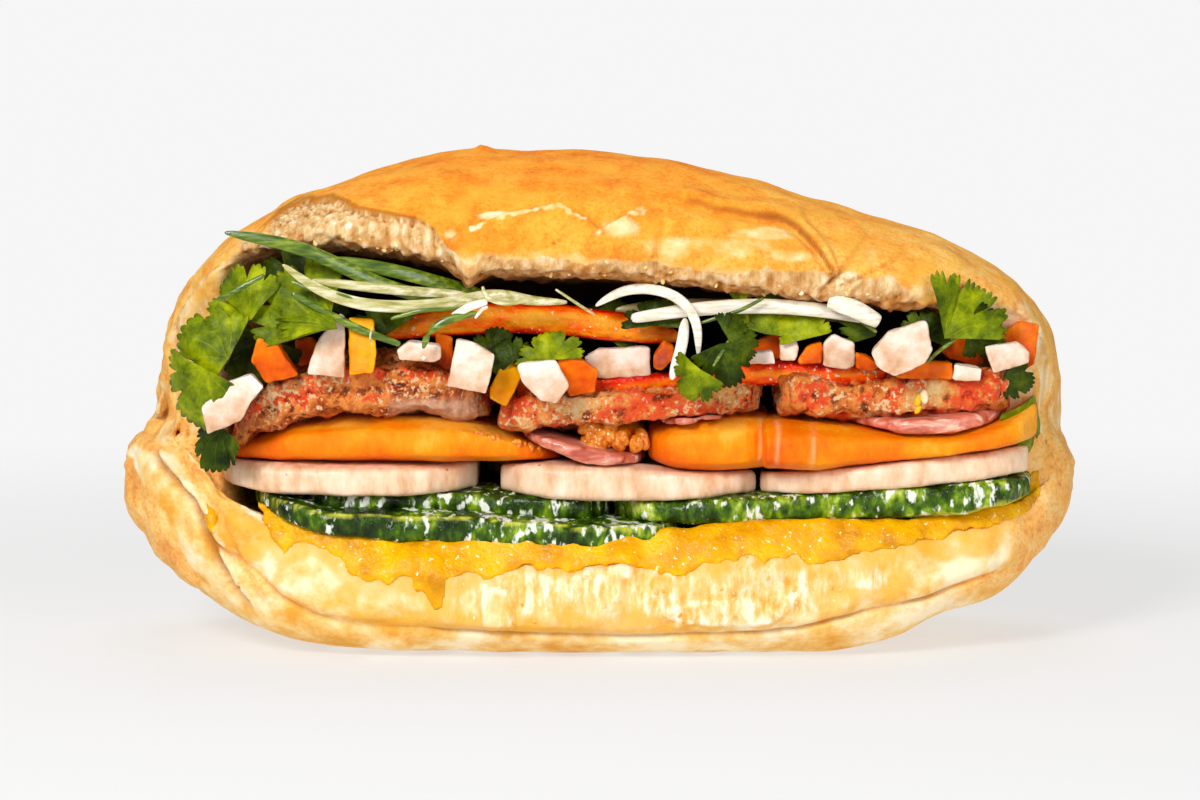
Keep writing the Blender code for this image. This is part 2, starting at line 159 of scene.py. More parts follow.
def between(x, start, end, soft):
    """1 from start to end, fading to 0 over soft mm outside them."""
    return step(start - soft, start, x) * (1 - step(end, end + soft, x))


def near(distance, reach):
    """1 where the distance is 0, falling off over about reach on both sides."""
    return np.exp(-(distance / reach) ** 2)


def note(piece, name, values):
    """Keeps one number a point on the mesh, where a material can read it."""
    layer = piece.data.attributes.new(name, "FLOAT", "POINT")
    layer.data.foreach_set("value", values.astype(np.float32))


def serve(piece, material, slot, *nodes):
    """Gives the piece its material, hangs it on the frame and hides the solids it stands for."""
    piece.data.materials.clear()
    piece.data.materials.append(material)
    only(piece)
    bpy.ops.object.shade_smooth()
    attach(piece, "root")
    if nodes:
        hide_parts(*nodes)
    print(f"{piece.name}: {sum(len(p.vertices) - 2 for p in piece.data.polygons)} triangles")
    return piece


# %% [markdown]
# ## Helpers for the materials
#
# Colours are written as the hex values that a colour picker shows, and one function turns them
# into the linear numbers that shaders work in. One more adds a node, sets it and links it. A
# pattern's scale is worked out from the size of its lumps on the real food.

# %% Helpers for the materials
def linear(picked):
    """A picked hex colour as a shader's linear colour."""
    parts = [int(picked[i:i + 2], 16) / 255 for i in (1, 3, 5)]
    return (*[c / 12.92 if c <= 0.04045 else ((c + 0.055) / 1.055) ** 2.4 for c in parts], 1.0)


def plug(node, *values, **named):
    """Sets a node's inputs, in their order or by name. An output is linked, a hex colour made linear."""
    usable = [socket for socket in node.inputs if socket.enabled]
    pairs = list(zip(usable, values))
    pairs += [(node.inputs[name.replace("_", " ")], value) for name, value in named.items()]
    for socket, value in pairs:
        if isinstance(value, bpy.types.NodeSocket):
            node.id_data.links.new(value, socket)
        else:
            socket.default_value = linear(value) if isinstance(value, str) else value


def add(tree, kind, *values, stops=(), out=None, **named):
    """Adds a node and gives its output. A name with a capital is an input's, any other a setting's."""
    node = tree.nodes.new("ShaderNode" + kind)
    for name in [name for name in named if name.islower()]:
        setattr(node, name, named.pop(name))
    if stops:
        ramp = node.color_ramp
        for element, (place, picked) in zip((ramp.elements[0], ramp.elements[-1]), (stops[0], stops[-1])):
            element.position, element.color = place, linear(picked)
        for place, picked in stops[1:-1]:
            ramp.elements.new(place).color = linear(picked)
    plug(node, *values, **named)
    return node.outputs[out] if out else next(socket for socket in node.outputs if socket.enabled)


def new_material(name):
    """A fresh material: itself, its node tree, its shader and the object's own coordinates."""
    material = bpy.data.materials.new(name)
    material.use_nodes = True
    tree = material.node_tree
    return material, tree, tree.nodes["Principled BSDF"], add(tree, "TexCoord", out="Object")


def per(size):
    """A noise scale whose lumps are size mm."""
    return 1000 / size


COLOURS = {"data_type": "RGBA"}                # what makes a Mix node mix colours

# %% [markdown]
# ## The set
#
# Food on white is lit the plain way: one large soft box above and to the left of the camera, a
# weaker one on the right, and one behind that draws a thin line of light along the crust. The
# floor is a pale sheet that fades out before its edge could show, so the roll seems to stand on
# white. The camera is a long lens, low, straight in front.

# %% Camera, lights and floor
scene = bpy.context.scene
middle = (cad_box[0] + cad_box[1]) / 2
REACH, RISE = 0.9, math.radians(6)
aim = Vector((middle.x, middle.y + 0.0029, 0.050))
camera_data = bpy.data.cameras.new("camera")
camera_data.sensor_width = 36
camera_data.lens = 128
camera = bpy.data.objects.new("camera", camera_data)
camera.location = aim + Vector((0, -REACH * math.cos(RISE), REACH * math.sin(RISE)))
camera.rotation_euler = (math.pi / 2 - RISE, 0, 0)
scene.collection.objects.link(camera)
scene.camera = camera
scene.view_settings.view_transform = "Standard"

SOFT_BOXES = {                      # where it stands, its side and its power in watts
    "key": ((-0.36, -0.80, 0.52), 0.28, 7.2),
    "fill": ((0.46, -0.80, 0.26), 0.40, 2.6),
    "rim": ((0.05, 0.30, 0.95), 0.60, 2.0),
}
for name, (place, side, power) in SOFT_BOXES.items():
    light = bpy.data.lights.new(name, "AREA")
    light.shape, light.size, light.energy = "SQUARE", side, power
    box = bpy.data.objects.new(name, light)
    box.location = place
    box.rotation_euler = (aim - box.location).to_track_quat("-Z", "Y").to_euler()
    scene.collection.objects.link(box)

world = bpy.data.worlds.new("white_room")
scene.world = world
world.use_nodes = True
room = world.node_tree
plug(room.nodes["Background"], Color="#f6f6f6", Strength=0.36)
wall = add(room, "Background", Color="#f6f6f6", Strength=1.0)
seen = add(room, "MixShader", add(room, "LightPath"), room.nodes["Background"].outputs[0], wall)
plug(room.nodes["World Output"], Surface=seen)

bpy.ops.mesh.primitive_circle_add(vertices=64, radius=1.2, fill_type="NGON", location=(0, 0, -0.0002))
floor = bpy.context.active_object
floor.name = "floor"
paper, tree, shader, here = new_material("matt_white_paper")
plug(shader, Base_Color="#f4f4f4", Roughness=0.9, Specular_IOR_Level=0.2)
away = add(tree, "VectorMath", here, operation="LENGTH")
clear = add(tree, "MapRange", Value=away, From_Min=0.14, From_Max=0.42, interpolation_type="SMOOTHSTEP")
glow = add(tree, "Emission", Color="#f4f4f4", Strength=1.0)
lit = add(tree, "MixShader", 0.62, shader.outputs[0], glow)
faded = add(tree, "MixShader", clear, lit, add(tree, "BsdfTransparent"))
plug(tree.nodes["Material Output"], Surface=faded)
floor.data.materials.append(paper)
print("camera", [round(v, 3) for v in camera.location], "lights", len(SOFT_BOXES))

# %% [markdown]
# ## The roll: where its edges run
#
# The roll's cut edges and folds run along its length, so each is written as a height over X. The
# two lips are the solid's own. The rest is what the baker's blade and the cook's hands left: the
# ledge of crust over the torn crumb at the left, the loose flap in the middle, the overhanging
# fold at the right, and the crease under the lower half's torn face.

# %% The roll's lines
def line(*points):
    """A height over X through the points, in millimetres."""
    xs, zs = zip(*points)
    return lambda x: np.interp(x, xs, zs)


upper_lip = line((-92, 50), (-90, 60), (-86, 71), (-80, 78), (-73, 82.5), (-66, 84.5), (-52, 85.5),
                 (-34, 82.5), (-25, 80), (0, 79.5), (40, 75), (60, 73), (80, 71.5), (88, 68), (93, 60),
                 (97, 50.5))
lower_lip = line((-100, 38), (-92, 43), (-84, 42.5), (-79, 36), (-71, 31), (-55, 25.5), (-41, 23),
                 (-16, 21.5), (4, 22.3), (16, 23.4), (27, 26.3), (61, 26.5), (77, 28.5), (88, 33),
                 (94, 37.5), (100, 36))
ledge = line((-69, 87.5), (-66, 91.0), (-61, 93.2), (-54.7, 94.0), (-49, 93.2), (-44, 91.8), (-38, 90.8),
             (-31, 89.0))
ledge_end = line((76, -26.0), (79, -27.0), (83, -29.5), (87, -32.5), (92, -35.0))    # X over height
flap_top = line((-30, 86.4), (-27, 88.8), (-21.3, 90.2), (-15, 92.0), (-8, 92.8), (-2.6, 90.4),
                (-0.5, 88.2), (3, 89.6), (6, 91.4), (12, 92.6))
fold_right = line((15, 94.4), (20, 93.6), (25, 92.4), (30, 91.8), (36, 90.8), (40, 89.0), (42.5, 86.2),
                  (45, 83.0), (47.5, 79))


def beneath(curve, x, z):
    """How far below the curve a point lies, measured square to it."""
    slope = curve(x + 0.5) - curve(x - 0.5)
    return (curve(x) - z) / np.sqrt(1 + slope ** 2)


crease = line((-80, 24.4), (-77.2, 22.8), (-70, 17.6), (-65, 12.6), (-58.6, 9.2), (-50.7, 6.8),
              (-36.5, 6.6), (-20, 5.6), (0, 4.8), (24, 5.2), (40, 6.4), (52, 9.6), (66, 12.2), (81, 17.2))
hinge = line((-95, 47), (-60, 51), (-20, 49.5), (20, 51.5), (60, 49), (95, 47))
shell = line((11, -71), (15, -73.5), (19, -76), (24, -78.2), (29, -80), (33, -83), (37, -87), (41, -90))
spread_depth = line((-82, 0), (-81, 11), (-79.5, 14), (-78, 13), (-76.8, 0), (-73, 0), (-70, 2.5),
                    (-67.5, 6), (-65, 9), (-62, 5), (-58, 2), (-55, 5), (-50, 9), (-45, 8), (-40, 6),
                    (-36, 8), (-34, 13), (-31.5, 13), (-30, 6), (-27, 5), (-20, 4), (-10, 3.5),
                    (-5, 3.2), (0, 3), (4, 3), (8, 5), (15, 5.5), (22, 4.5), (30, 6), (38, 5), (46, 7),
                    (52, 6), (58, 5), (64, 3.5), (75, 2), (85, 3.5), (88, 5), (91, 6), (93, 1))
print("lip gap in the middle:", round(float(upper_lip(0) - lower_lip(0)), 1), "mm")

# %% [markdown]
# ## The roll: remeshed and torn open
#
# The solid is smooth, and bread isn't. A voxel remesh gives an even skin of points about one
# millimetre apart, the torn front gets twice as many, and so do the lines of the folds. Then every
# line above is pressed into the skin or raised from it, as with a sculpting brush, and the torn
# parts are roughened with noise that is drawn out the way crumb pulls apart. All of it is added up
# as one number a point, the push, before the skin is moved once.

# %% The remeshed roll
roll = copy_of("bread_roll", "bread")
apply(roll, "REMESH", mode="VOXEL", voxel_size=1.42 * MM, adaptivity=0)
apply(roll, "SMOOTH", factor=0.5, iterations=12)


def inward(points, normals):
    """How squarely a point looks into the space between the two halves, -1 to 1."""
    heart = np.stack([points[:, 0] * 0.93, np.full(len(points), -8.0),
                      (upper_lip(points[:, 0]) + lower_lip(points[:, 0])) / 2], axis=1)
    to_heart = heart - points
    return (to_heart * normals).sum(1) / np.linalg.norm(to_heart, axis=1)


points, normals = places(roll), facing(roll)
x, y, z = points.T
torn_front = (normals[:, 1] < 0.35) & (y < 6) & (inward(points, normals) < 0.6)
torn_front &= (((z < lower_lip(x) + 3) & (z > crease(x) - 3))
               | ((z > upper_lip(x) - 3) & (z < upper_lip(x) + 17)))
edit(roll, bpy.ops.mesh.subdivide, torn_front, number_cuts=1)
apply(roll, "SMOOTH", factor=0.5, iterations=2)
points, normals = places(roll), facing(roll)
x, y, z = points.T
on_line = ((np.abs(beneath(fold_right, x, z)) < 2.4) & (np.abs(x - 32) < 17)
           | (np.abs(beneath(ledge, x, z)) < 2) & (np.abs(x + 49) < 21)
           | (np.abs(beneath(flap_top, x, z)) < 1.6) & (np.abs(x + 10) < 20)
           | (np.abs(beneath(crease, x, z)) < 1.5) & (np.abs(x) < 80))
on_line &= (normals[:, 1] < 0.2) & (y < 6) & (inward(points, normals) < 0.4)
edit(roll, bpy.ops.mesh.subdivide, on_line, number_cuts=1)
print("points on the roll:", len(roll.data.vertices))

# %% Where the skin faces, and its noises
points, normals = places(roll), facing(roll)
x, y, z = points.T
into = inward(points, normals)
front = step(0.45, -0.1, normals[:, 1]) * step(14, 4, y)
outside = step(0.15, -0.25, into)
inside = step(-0.1, 0.35, into)
upper, lower = step(56, 62, z), step(50, 44, z)
upper_front, skin_front = front * upper, front * outside
fine, coarse, lumps = grain(points, 1.3, 1), grain(points, 4.5, 2), grain(points, 12, 3)
ragged = grain(points, 2.2, 4) + 0.6 * grain(points, 0.9, 5)
strands = grain(points, (1.2, 1.6, 5.5), 6) + 0.6 * grain(points, (0.7, 1, 2.6), 7)
tufts = np.abs(grain(points, (2.0, 2.6, 5.4), 8)) + 0.5 * np.abs(grain(points, (0.9, 1.2, 2.6), 9))


def bump_at(middle_x, middle_z, reach_x, reach_z):
    """1 at a place on the front, falling off round it."""
    return np.exp(-((x - middle_x) / reach_x) ** 2 - ((z - middle_z) / reach_z) ** 2)


print("share of the skin inside the cut:", round(float(inside.mean()), 2))

# %% [markdown]
# ## The upper half: torn band, flap and fold
#
# When the upper half was lifted it tore along a ledge at the left, let a flap hang loose in the
# middle and folded over itself at the right. How far a point lies beneath one of these lines says
# how far to push it: torn dough goes in and is roughened, a loose layer comes out, and the skin
# under a fold goes in, sharply above and softly below.

# %% The upper half, sculpted
push = outside * (0.6 * lumps + 0.2 * coarse)          # a baked skin is never quite even
# the torn band under the ledge, upper left
under_ledge = beneath(ledge, x, z) + 0.45 * coarse + 0.2 * fine
left_of_flap = step(0.8, -0.8, x - ledge_end(z) + 0.8 * coarse)
band = skin_front * upper * step(-69, -66, x) * left_of_flap * step(-0.1, 0.4, under_ledge)
push += upper_front * between(x, -67, -36, 4) * 0.35 * near(under_ledge + 0.6, 0.6)
push += band * (0.9 * tufts + 0.6 * strands - 1.2 + 0.8 * step(1, 6, under_ledge)
                - 0.9 * step(9, 12, under_ledge))
# the loose flap in the middle, one layer nearer
under_flap = beneath(flap_top, x, z) + 0.35 * coarse
flap = skin_front * upper * step(-0.8, 0.8, x - ledge_end(z) + 0.8 * coarse) * step(12, 5, x)
flap *= step(-0.25, 0.25, under_flap)
push += flap * (1.9 - 1.0 * step(0, 8, under_flap))
push -= upper_front * between(x, -27, 10, 3) * 0.5 * near(under_flap + 0.6, 0.6)
# the overhanging fold at the right, sharp above and soft below
under_fold = beneath(fold_right, x, z) + 0.3 * coarse
hollow = skin_front * upper * between(x, 19, 46, 4) * step(-0.25, 0.25, under_fold)
push += upper_front * between(x, 17, 46, 5) * 1.0 * near(under_fold + 0.9, 1.1)
push -= hollow * 1.3 * (1 - step(0.2, 2.6, under_fold))
push += upper_front * (1.3 * bump_at(31, 83.0, 13, 2.4) + 0.9 * bump_at(5, 84.5, 9, 2.4)
                       + 0.7 * bump_at(52, 79, 8, 2.2))
# small folds and dimples near the lip: where each is, how far it leans and how tall it is
SMALL_FOLDS = ((48.5, 80, 0.9, 5), (11.5, 85, 0.15, 4), (54, 79.5, 2.4, 2.0), (-9, 86, 2.2, 1.6))
small_folds = sum(near((x - fold_x) - lean * (z - fold_z), 0.6) * near(z - fold_z, size)
                  for fold_x, fold_z, lean, size in SMALL_FOLDS)
push -= skin_front * 1.4 * small_folds
print("upper half: in by", round(-float(push.min()), 2), "out by", round(float(push.max()), 2), "mm")

# %% [markdown]
# ## The lips and the lower half's torn face
#
# Both lips are ragged, because crust was torn there and not cut. Below the lower lip the crust
# came away and shows fibres of dough, drawn out along the roll, down to a crease where sound crust
# begins again. A tongue, a blob and a thin layer of dough still cling to it.

# %% The lips and the torn face
# torn lips: ragged, and eaten back in places
lip = near(z - upper_lip(x), 3.0) * upper + near(z - lower_lip(x), 2.6) * lower
push += lip * front * (0.7 * ragged + 0.3 * fine)
tip = front * upper * bump_at(-26.3, 80.5, 2.2, 3.5)
# the lower half's torn face between its lip and the crease
on_face = skin_front * lower * step(0.1, 1.0, z - crease(x)) * step(-79, -75, x) * step(88, 82, x)
fibrous = on_face * between(x, -40, 56, 10) * step(1.0, 3.5, z - crease(x))
pulled_out = fibrous * np.clip(bump_at(-9, 17, 14, 6) + bump_at(33, 14, 13, 6) + bump_at(13, 16, 6, 5), 0, 1)
push += on_face * (0.9 * step(0.2, 3, z - crease(x)) + 0.6 * lumps + 0.3 * coarse)
push += fibrous * (0.5 * coarse + 0.3 * tufts) + pulled_out * 0.7 * strands
tongue = fibrous * between(x, -23.8, -17.6, 0.5) * between(z + 0.25 * (x + 20), 5.4, 15, 0.7)
blob = fibrous * step(1.0, 0.5, np.hypot((x - 4.4) / 3.2, (z - 18.6 + 0.4 * fine) / 2.0))
blob = np.maximum(blob, fibrous * step(1.0, 0.4, np.abs(x - 3.6) / 0.9) * between(z, 13.4, 17.5, 0.5))
layer = fibrous * step(1.0, 0.85, np.hypot((x - 25) / 13, (z - 10.6) / 3.0))
push += 1.1 * tongue + 0.9 * blob + 0.6 * layer
push -= skin_front * lower * between(x, -79, 76, 5) * (0.9 + 0.7 * lumps) * near(z - crease(x), 0.6)
print("torn face:", int((on_face > 0.5).sum()), "points, fibrous:", int((fibrous > 0.5).sum()))

# %% [markdown]
# ## The ends, the inside and the back
#
# At the left end a shell of crust stands up beside the torn face, and both ends are wrinkled where
# the loaf was shaped. Inside the cut the crumb is open and uneven, but its end walls are closed, so
# they are filled out and smoothed. At the back the two halves hinge along a shallow fold.

# %% The ends, the inside and the back
# the end shell at the left, and the cut edge that stands up beside it
beside = x - shell(z) + 0.9 * coarse
at_shell = skin_front * lower * between(z, 12, 40, 3)
push += at_shell * 1.3 * near(beside - 0.2, 1.1)
push -= at_shell * (1.7 * near(beside + 1.9, 1.2) + 0.8 * near(beside - 2.4, 1.0))
push += outside * step(-76, -86, x) * (0.9 * grain(points, 6, 12) + 0.5 * grain(points, 3, 13))
push += outside * step(82, 92, x) * 0.5 * grain(points, 5, 14)
# crumb inside the cut, with its pores
toward_end = np.maximum(x, 5 - x)                       # the left end wall starts 5 mm sooner
end_inner = inside * step(72, 80, toward_end)
push += inside * (1 - 0.7 * end_inner) * (0.9 * coarse + 0.45 * ragged)
# the fold along the back, where the two halves hinge
push -= step(22, 32, y) * (1.6 * near(z - hinge(x), 1.6) - 0.5 * lumps)
# one blister of dough on the crown
blister = ((x + 24.3) / 1.2) ** 2 + ((y + 4) / 2.2) ** 2
push += np.exp(-blister) * upper * (1 - inside)
print("deepest push", round(float(push.min()), 2), "highest", round(float(push.max()), 2), "mm")

# %% The skin moved
moved = points + normals * push[:, None]
moved[:, 2] -= 2.6 * tip                               # the flap's corner hangs down
moved[:, 1] -= 1.2 * tip
floor_up = step(-0.1, 0.5, normals[:, 2]) * (z < 34) * (z > 14) * between(x, -60, 76, 10) * step(0, -10, y)
moved[:, 2] += floor_up * (0.8 + 1.2 * between(x, -22, 12, 8)) * inside
set_back = -29 + 0.85 * np.clip(np.abs(x) - 76, 0, None) + 0.8 * lumps
end_fill = inside * step(76, 83, toward_end) * between(z, 30, 78, 5) * (y > set_back)
moved[:, 1] += end_fill * 0.85 * (set_back - moved[:, 1])
moved[:, 2] = np.maximum(moved[:, 2], 0)
move_to(roll, moved)
at_ends = roll.vertex_groups.new(name="ends")
at_ends.add(np.flatnonzero(inside * step(74, 80, toward_end) * (y < -5) > 0.3).tolist(), 1.0, "REPLACE")
apply(roll, "SMOOTH", factor=0.5, iterations=8, vertex_group="ends")
roll.vertex_groups.clear()
print("the roll is", round(float(np.ptp(places(roll)[:, 0])), 1), "mm long")

# %% [markdown]
# ## What the bread's material needs to know
#
# A material can't tell torn crumb from crust, but the sculpting can. Six numbers a point are kept
# for it: how much of the point is crumb; how much painted shade it gets in the creases, under the
# ledge, the flap and the folds; how pale or golden its skin is, where the paleness is partly painted
# light on the shaded end walls and the lower crust; how tanned its crumb is, with painted shade near
# the upper lip; and how much painted shade it gets deep inside the cut.

# %% Notes for the bread's material
rind_height = z - upper_lip(x) - 2.2 * between(x, 34, 58, 5) + 1.1 * coarse + 0.6 * fine
rind = upper * front * step(4.4, 2.0, rind_height) * between(x, -70, 60, 6)
end_wall = step(-0.2, -0.5, normals[:, 1] + 0.15 * coarse) * step(68, 76, np.abs(x)) * between(z, 45, 83, 4)
end_wall *= step(-0.75, -0.35, into)
crumb = np.maximum.reduce([inside * (1 - 0.75 * end_inner) * np.where(np.abs(x) > 84, step(-12, -18, y), 1),
                           band, rind, 0.42 * end_wall,
                           0.75 * fibrous * (0.4 + 0.5 * tufts), pulled_out, blob,
                           0.4 * at_shell * near(beside - 0.4, 1.6)])
# painted shade: a darker colour under the ledge, under the right fold and the flap, in the small folds, along
# the back hinge, along the lower half's crease and in the groove beside the shell
dark = (upper_front * between(x, -67, -38, 4) * 0.8 * near(under_ledge + 0.05, 0.3)
        + upper_front * between(x, 19, 46, 3) * (0.7 + 0.3 * step(26, 38, x)) * near(under_fold - 0.05, 0.24)
        + skin_front * 0.35 * small_folds
        + 0.6 * step(25, 32, y) * near(z - hinge(x), 0.5)
        + front * lower * between(x, -78, 74, 4) * (0.5 + 0.5 * lumps) * near(z - crease(x) + 0.1, 0.4)
        + at_shell * 0.8 * near(beside + 1.9, 0.9)
        + 0.35 * front * upper * between(x, -22, 0, 3) * near(under_flap + 0.4, 0.4))
PALE_SPOTS = (                 # how pale, its middle and its reach to the side and up
    (0.95, -20.5, 91.2, 5, 0.9), (0.85, 4, 88.4, 4.5, 2.2), (0.6, 8.2, 92.0, 2.2, 1.6),
    (1.0, 33, 87.4, 8.5, 1.3), (0.8, 39, 83.0, 7, 1.4), (0.75, 22, 85.0, 17, 2.6),
    (0.6, 54, 83, 3, 2.5), (0.6, -30, 87.5, 2.5, 2),
)
# pale dough on the torn face, tongue, layer and shell and in the spots; partly painted light: the shaded end
# walls inside the cut are lightened, and so is the lower crust, which is paler dough too
pale = np.maximum.reduce([
    on_face * (0.8 + 0.25 * lumps), 0.9 * tongue, layer, 0.72 * step(20, 8, z) * lower,
    0.8 * at_shell * between(beside, -9, 1, 2),
    *[front * much * bump_at(*spot) for much, *spot in PALE_SPOTS],
    (0.45 + 0.7 * fine) * front * upper * between(x, -25, 8, 4) * near(under_flap - 0.6, 1.0),
    0.85 * end_inner * step(-8, -16, y), 0.8 * end_wall, 0.5 * front * upper * step(7, 3, z - upper_lip(x))])
patchy = grain(points, (7, 7, 5), 16) + 0.5 * coarse
soaked_in = step(3.5, 0.5, lower_lip(x) - z - spread_depth(x) + 1.5 * coarse)
golden = on_face * np.clip(
    0.85 * step(0.0, 0.3, patchy) + 0.8 * soaked_in + 0.9 * bump_at(-39, 8.5, 8, 3.5)
    + 0.8 * bump_at(-22, 7.5, 9, 2.5) + 0.7 * bump_at(24, 14.5, 5, 3)
    + 0.9 * step(12, 9, z) * between(x, -34, 12, 8) - tongue - blob - layer - 0.6 * pulled_out, 0, 1)
golden += upper_front * outside * (1 - crumb) * (1 - pale) * 0.6 * step(0.0, 0.5, patchy)
# a tanner crumb on the upper half, with painted shade over the last few mm above the upper lip
tan = upper * (0.08 + 0.55 * step(4.0, 0.3, z - upper_lip(x)) + 0.5 * coarse - 0.6 * step(68, 80, np.abs(x)))
# painted shade: the crumb deep inside the cut is painted near black
deep = inside * step(-26 - 9 * upper, -4 - 12 * upper, y) * step(80, 68, toward_end)
BREAD_NOTES = {"crumb": crumb, "crease": dark, "pale": pale, "golden": golden, "tan": tan, "deep": deep}
for name, values in BREAD_NOTES.items():
    note(roll, name, np.clip(values, 0, 1))
print("notes on the roll:", ", ".join(BREAD_NOTES))

# %% [markdown]
# ## Baked crust and torn crumb
#
# Crust is dough browned by the oven: golden on the crown where it caught most heat, pale on the
# sides and below, matt, and mottled at the scale of a few millimetres. Crumb is what tearing
# shows: cream, fibrous, with small holes and a slight glow, because light goes in and comes out
# again. Both are one material, mixed by the numbers kept on the mesh.

# %% The bread's material
bread, tree, shader, here = new_material("baked_wheat_crust_and_torn_crumb")
crumb_here, crease_here, pale_here, golden_here, tan_here, deep_here = (
    add(tree, "Attribute", attribute_name=name, out="Fac") for name in BREAD_NOTES)
sideways, upward = (add(tree, "SeparateXYZ", here, out=axis) for axis in "XZ")
blotches = add(tree, "TexNoise", Vector=here, Scale=per(17), Detail=5, Roughness=0.6)
specks = add(tree, "TexNoise", Vector=here, Scale=per(6.0), Detail=9, Roughness=0.7)
height = add(tree, "MapRange", Value=upward, From_Min=0, From_Max=0.103)
along = add(tree, "Math", add(tree, "Math", sideways, 0.012), operation="ABSOLUTE")
ends = add(tree, "MapRange", Value=along, From_Min=0.02, From_Max=0.09, To_Max=0.38)
less = add(tree, "Math", height, ends, operation="SUBTRACT")
wandering = add(tree, "Math", blotches, 0.6, less, operation="MULTIPLY_ADD")
oven = add(tree, "MapRange", Value=wandering, From_Min=0.1, From_Max=1.4)
baked = add(tree, "ValToRGB", Fac=oven,
            stops=[(0.05, "#f9d292"), (0.25, "#fbd690"), (0.5, "#fed27c"), (0.68, "#ffc25a"),
                   (0.82, "#ffb746"), (0.96, "#fca936")])
mottled = add(tree, "ValToRGB", Fac=specks,
              stops=[(0.36, "#e59c3c"), (0.47, "#fbd48c"), (0.58, "#fff4da"), (0.68, "#ffffff")])
flour = add(tree, "TexNoise", Vector=here, Scale=per(0.8), Detail=3, Roughness=0.7)
dusted = add(tree, "ValToRGB", Fac=flour, stops=[(0.36, "#e8c890"), (0.5, "#fff4dc"), (0.62, "#ffffff")])
spotted = add(tree, "Mix", 0.7, baked, mottled, blend_type="MULTIPLY", **COLOURS)
crust = add(tree, "Mix", 0.7, spotted, dusted, blend_type="MULTIPLY", **COLOURS)
clouds = add(tree, "TexNoise", Vector=here, Scale=per(11), Detail=10, Roughness=0.62)
doughy = add(tree, "ValToRGB", Fac=clouds,
             stops=[(0.37, "#e6a23a"), (0.45, "#f0bc66"), (0.53, "#f8d492"), (0.62, "#fdeac2")])
# the pale note mixes real pale dough with painted light on the end walls and the lower crust
pale_edge = add(tree, "Math", specks, 0.9, pale_here, operation="MULTIPLY_ADD")
pale_mask = add(tree, "MapRange", Value=pale_edge, From_Min=0.72, From_Max=1.12,
                interpolation_type="SMOOTHSTEP")
skin_colour = add(tree, "Mix", pale_mask, crust, doughy, **COLOURS)
fibres = add(tree, "Mapping", Vector=here, Scale=(1, 1, 0.3))
pulled = add(tree, "TexNoise", Vector=fibres, Scale=per(2.0), Detail=9, Roughness=0.68)
# painted shade in the crumb's hollows and painted light on its points, by how pointed the mesh is
ridge = add(tree, "MapRange", Value=add(tree, "NewGeometry", out="Pointiness"), From_Min=0.44, From_Max=0.56)
crumb_level = add(tree, "Math", ridge, 0.26, pulled, operation="MULTIPLY_ADD")
crumb_colour = add(tree, "ValToRGB", Fac=crumb_level,
                   stops=[(0.41, "#a06a30"), (0.52, "#c8965a"), (0.64, "#e2b87c"), (0.76, "#f4dcae"),
                          (0.88, "#fffaf0")])
buttered = add(tree, "ValToRGB", Fac=crumb_level,
               stops=[(0.39, "#dc9630"), (0.52, "#ecb45c"), (0.63, "#f7d28e"), (0.76, "#fff2d6")])
low_half = add(tree, "MapRange", Value=upward, From_Min=0.04, From_Max=0.03)
both_halves = add(tree, "Mix", low_half, crumb_colour, buttered, **COLOURS)
torn = add(tree, "Math", pulled, 0.5, crumb_here, operation="MULTIPLY_ADD")
torn_mask = add(tree, "MapRange", Value=torn, From_Min=0.5, From_Max=0.8, interpolation_type="SMOOTHSTEP")
both = add(tree, "Mix", torn_mask, skin_colour, both_halves, **COLOURS)
# the tan is partly the crumb's tone and partly painted shade near the upper lip
tanned = add(tree, "Mix", add(tree, "Math", torn_mask, tan_here, operation="MULTIPLY"), both, "#e2b070",
             blend_type="MULTIPLY", **COLOURS)
soaked = add(tree, "Mix", add(tree, "Math", golden_here, 0.8, operation="MULTIPLY"), tanned, "#f2b23c",
             **COLOURS)
# painted shade in the creases, folds and grooves, as brown
creased = add(tree, "Mix", crease_here, soaked, "#a4601c", **COLOURS)
# painted shade deep inside the cut
shaded = add(tree, "Mix", deep_here, creased, "#1c0e04", **COLOURS)
rough = add(tree, "MapRange", Value=torn_mask, To_Min=0.68, To_Max=0.9)
crust_bump = add(tree, "TexNoise", Vector=here, Scale=per(1.3), Detail=6, Roughness=0.6)
relief = add(tree, "Mix", torn_mask, crust_bump, pulled, data_type="FLOAT")
relief_depth = add(tree, "MapRange", Value=torn_mask, To_Min=0.32, To_Max=0.5)
bump = add(tree, "Bump", Height=relief, Strength=relief_depth, Distance=0.9 * MM)
plug(shader, Base_Color=shaded, Roughness=rough, Normal=bump, Specular_IOR_Level=0.12, Subsurface_Weight=0.06,
     Subsurface_Radius=(1.0, 0.6, 0.3), Subsurface_Scale=1.2 * MM)
serve(roll, bread, "bread", "bread_roll")

# %% [markdown]
# ## Yellow spread on the lower half
#
# Butter and egg mayonnaise were spread on the cut face and squeezed out along the lower lip when
# the roll was filled. It lies on the bread, so the surest way to shape it is to take the bread's
# own skin where the spread is, thicken it and melt it with a remesh, which also rounds its rim.

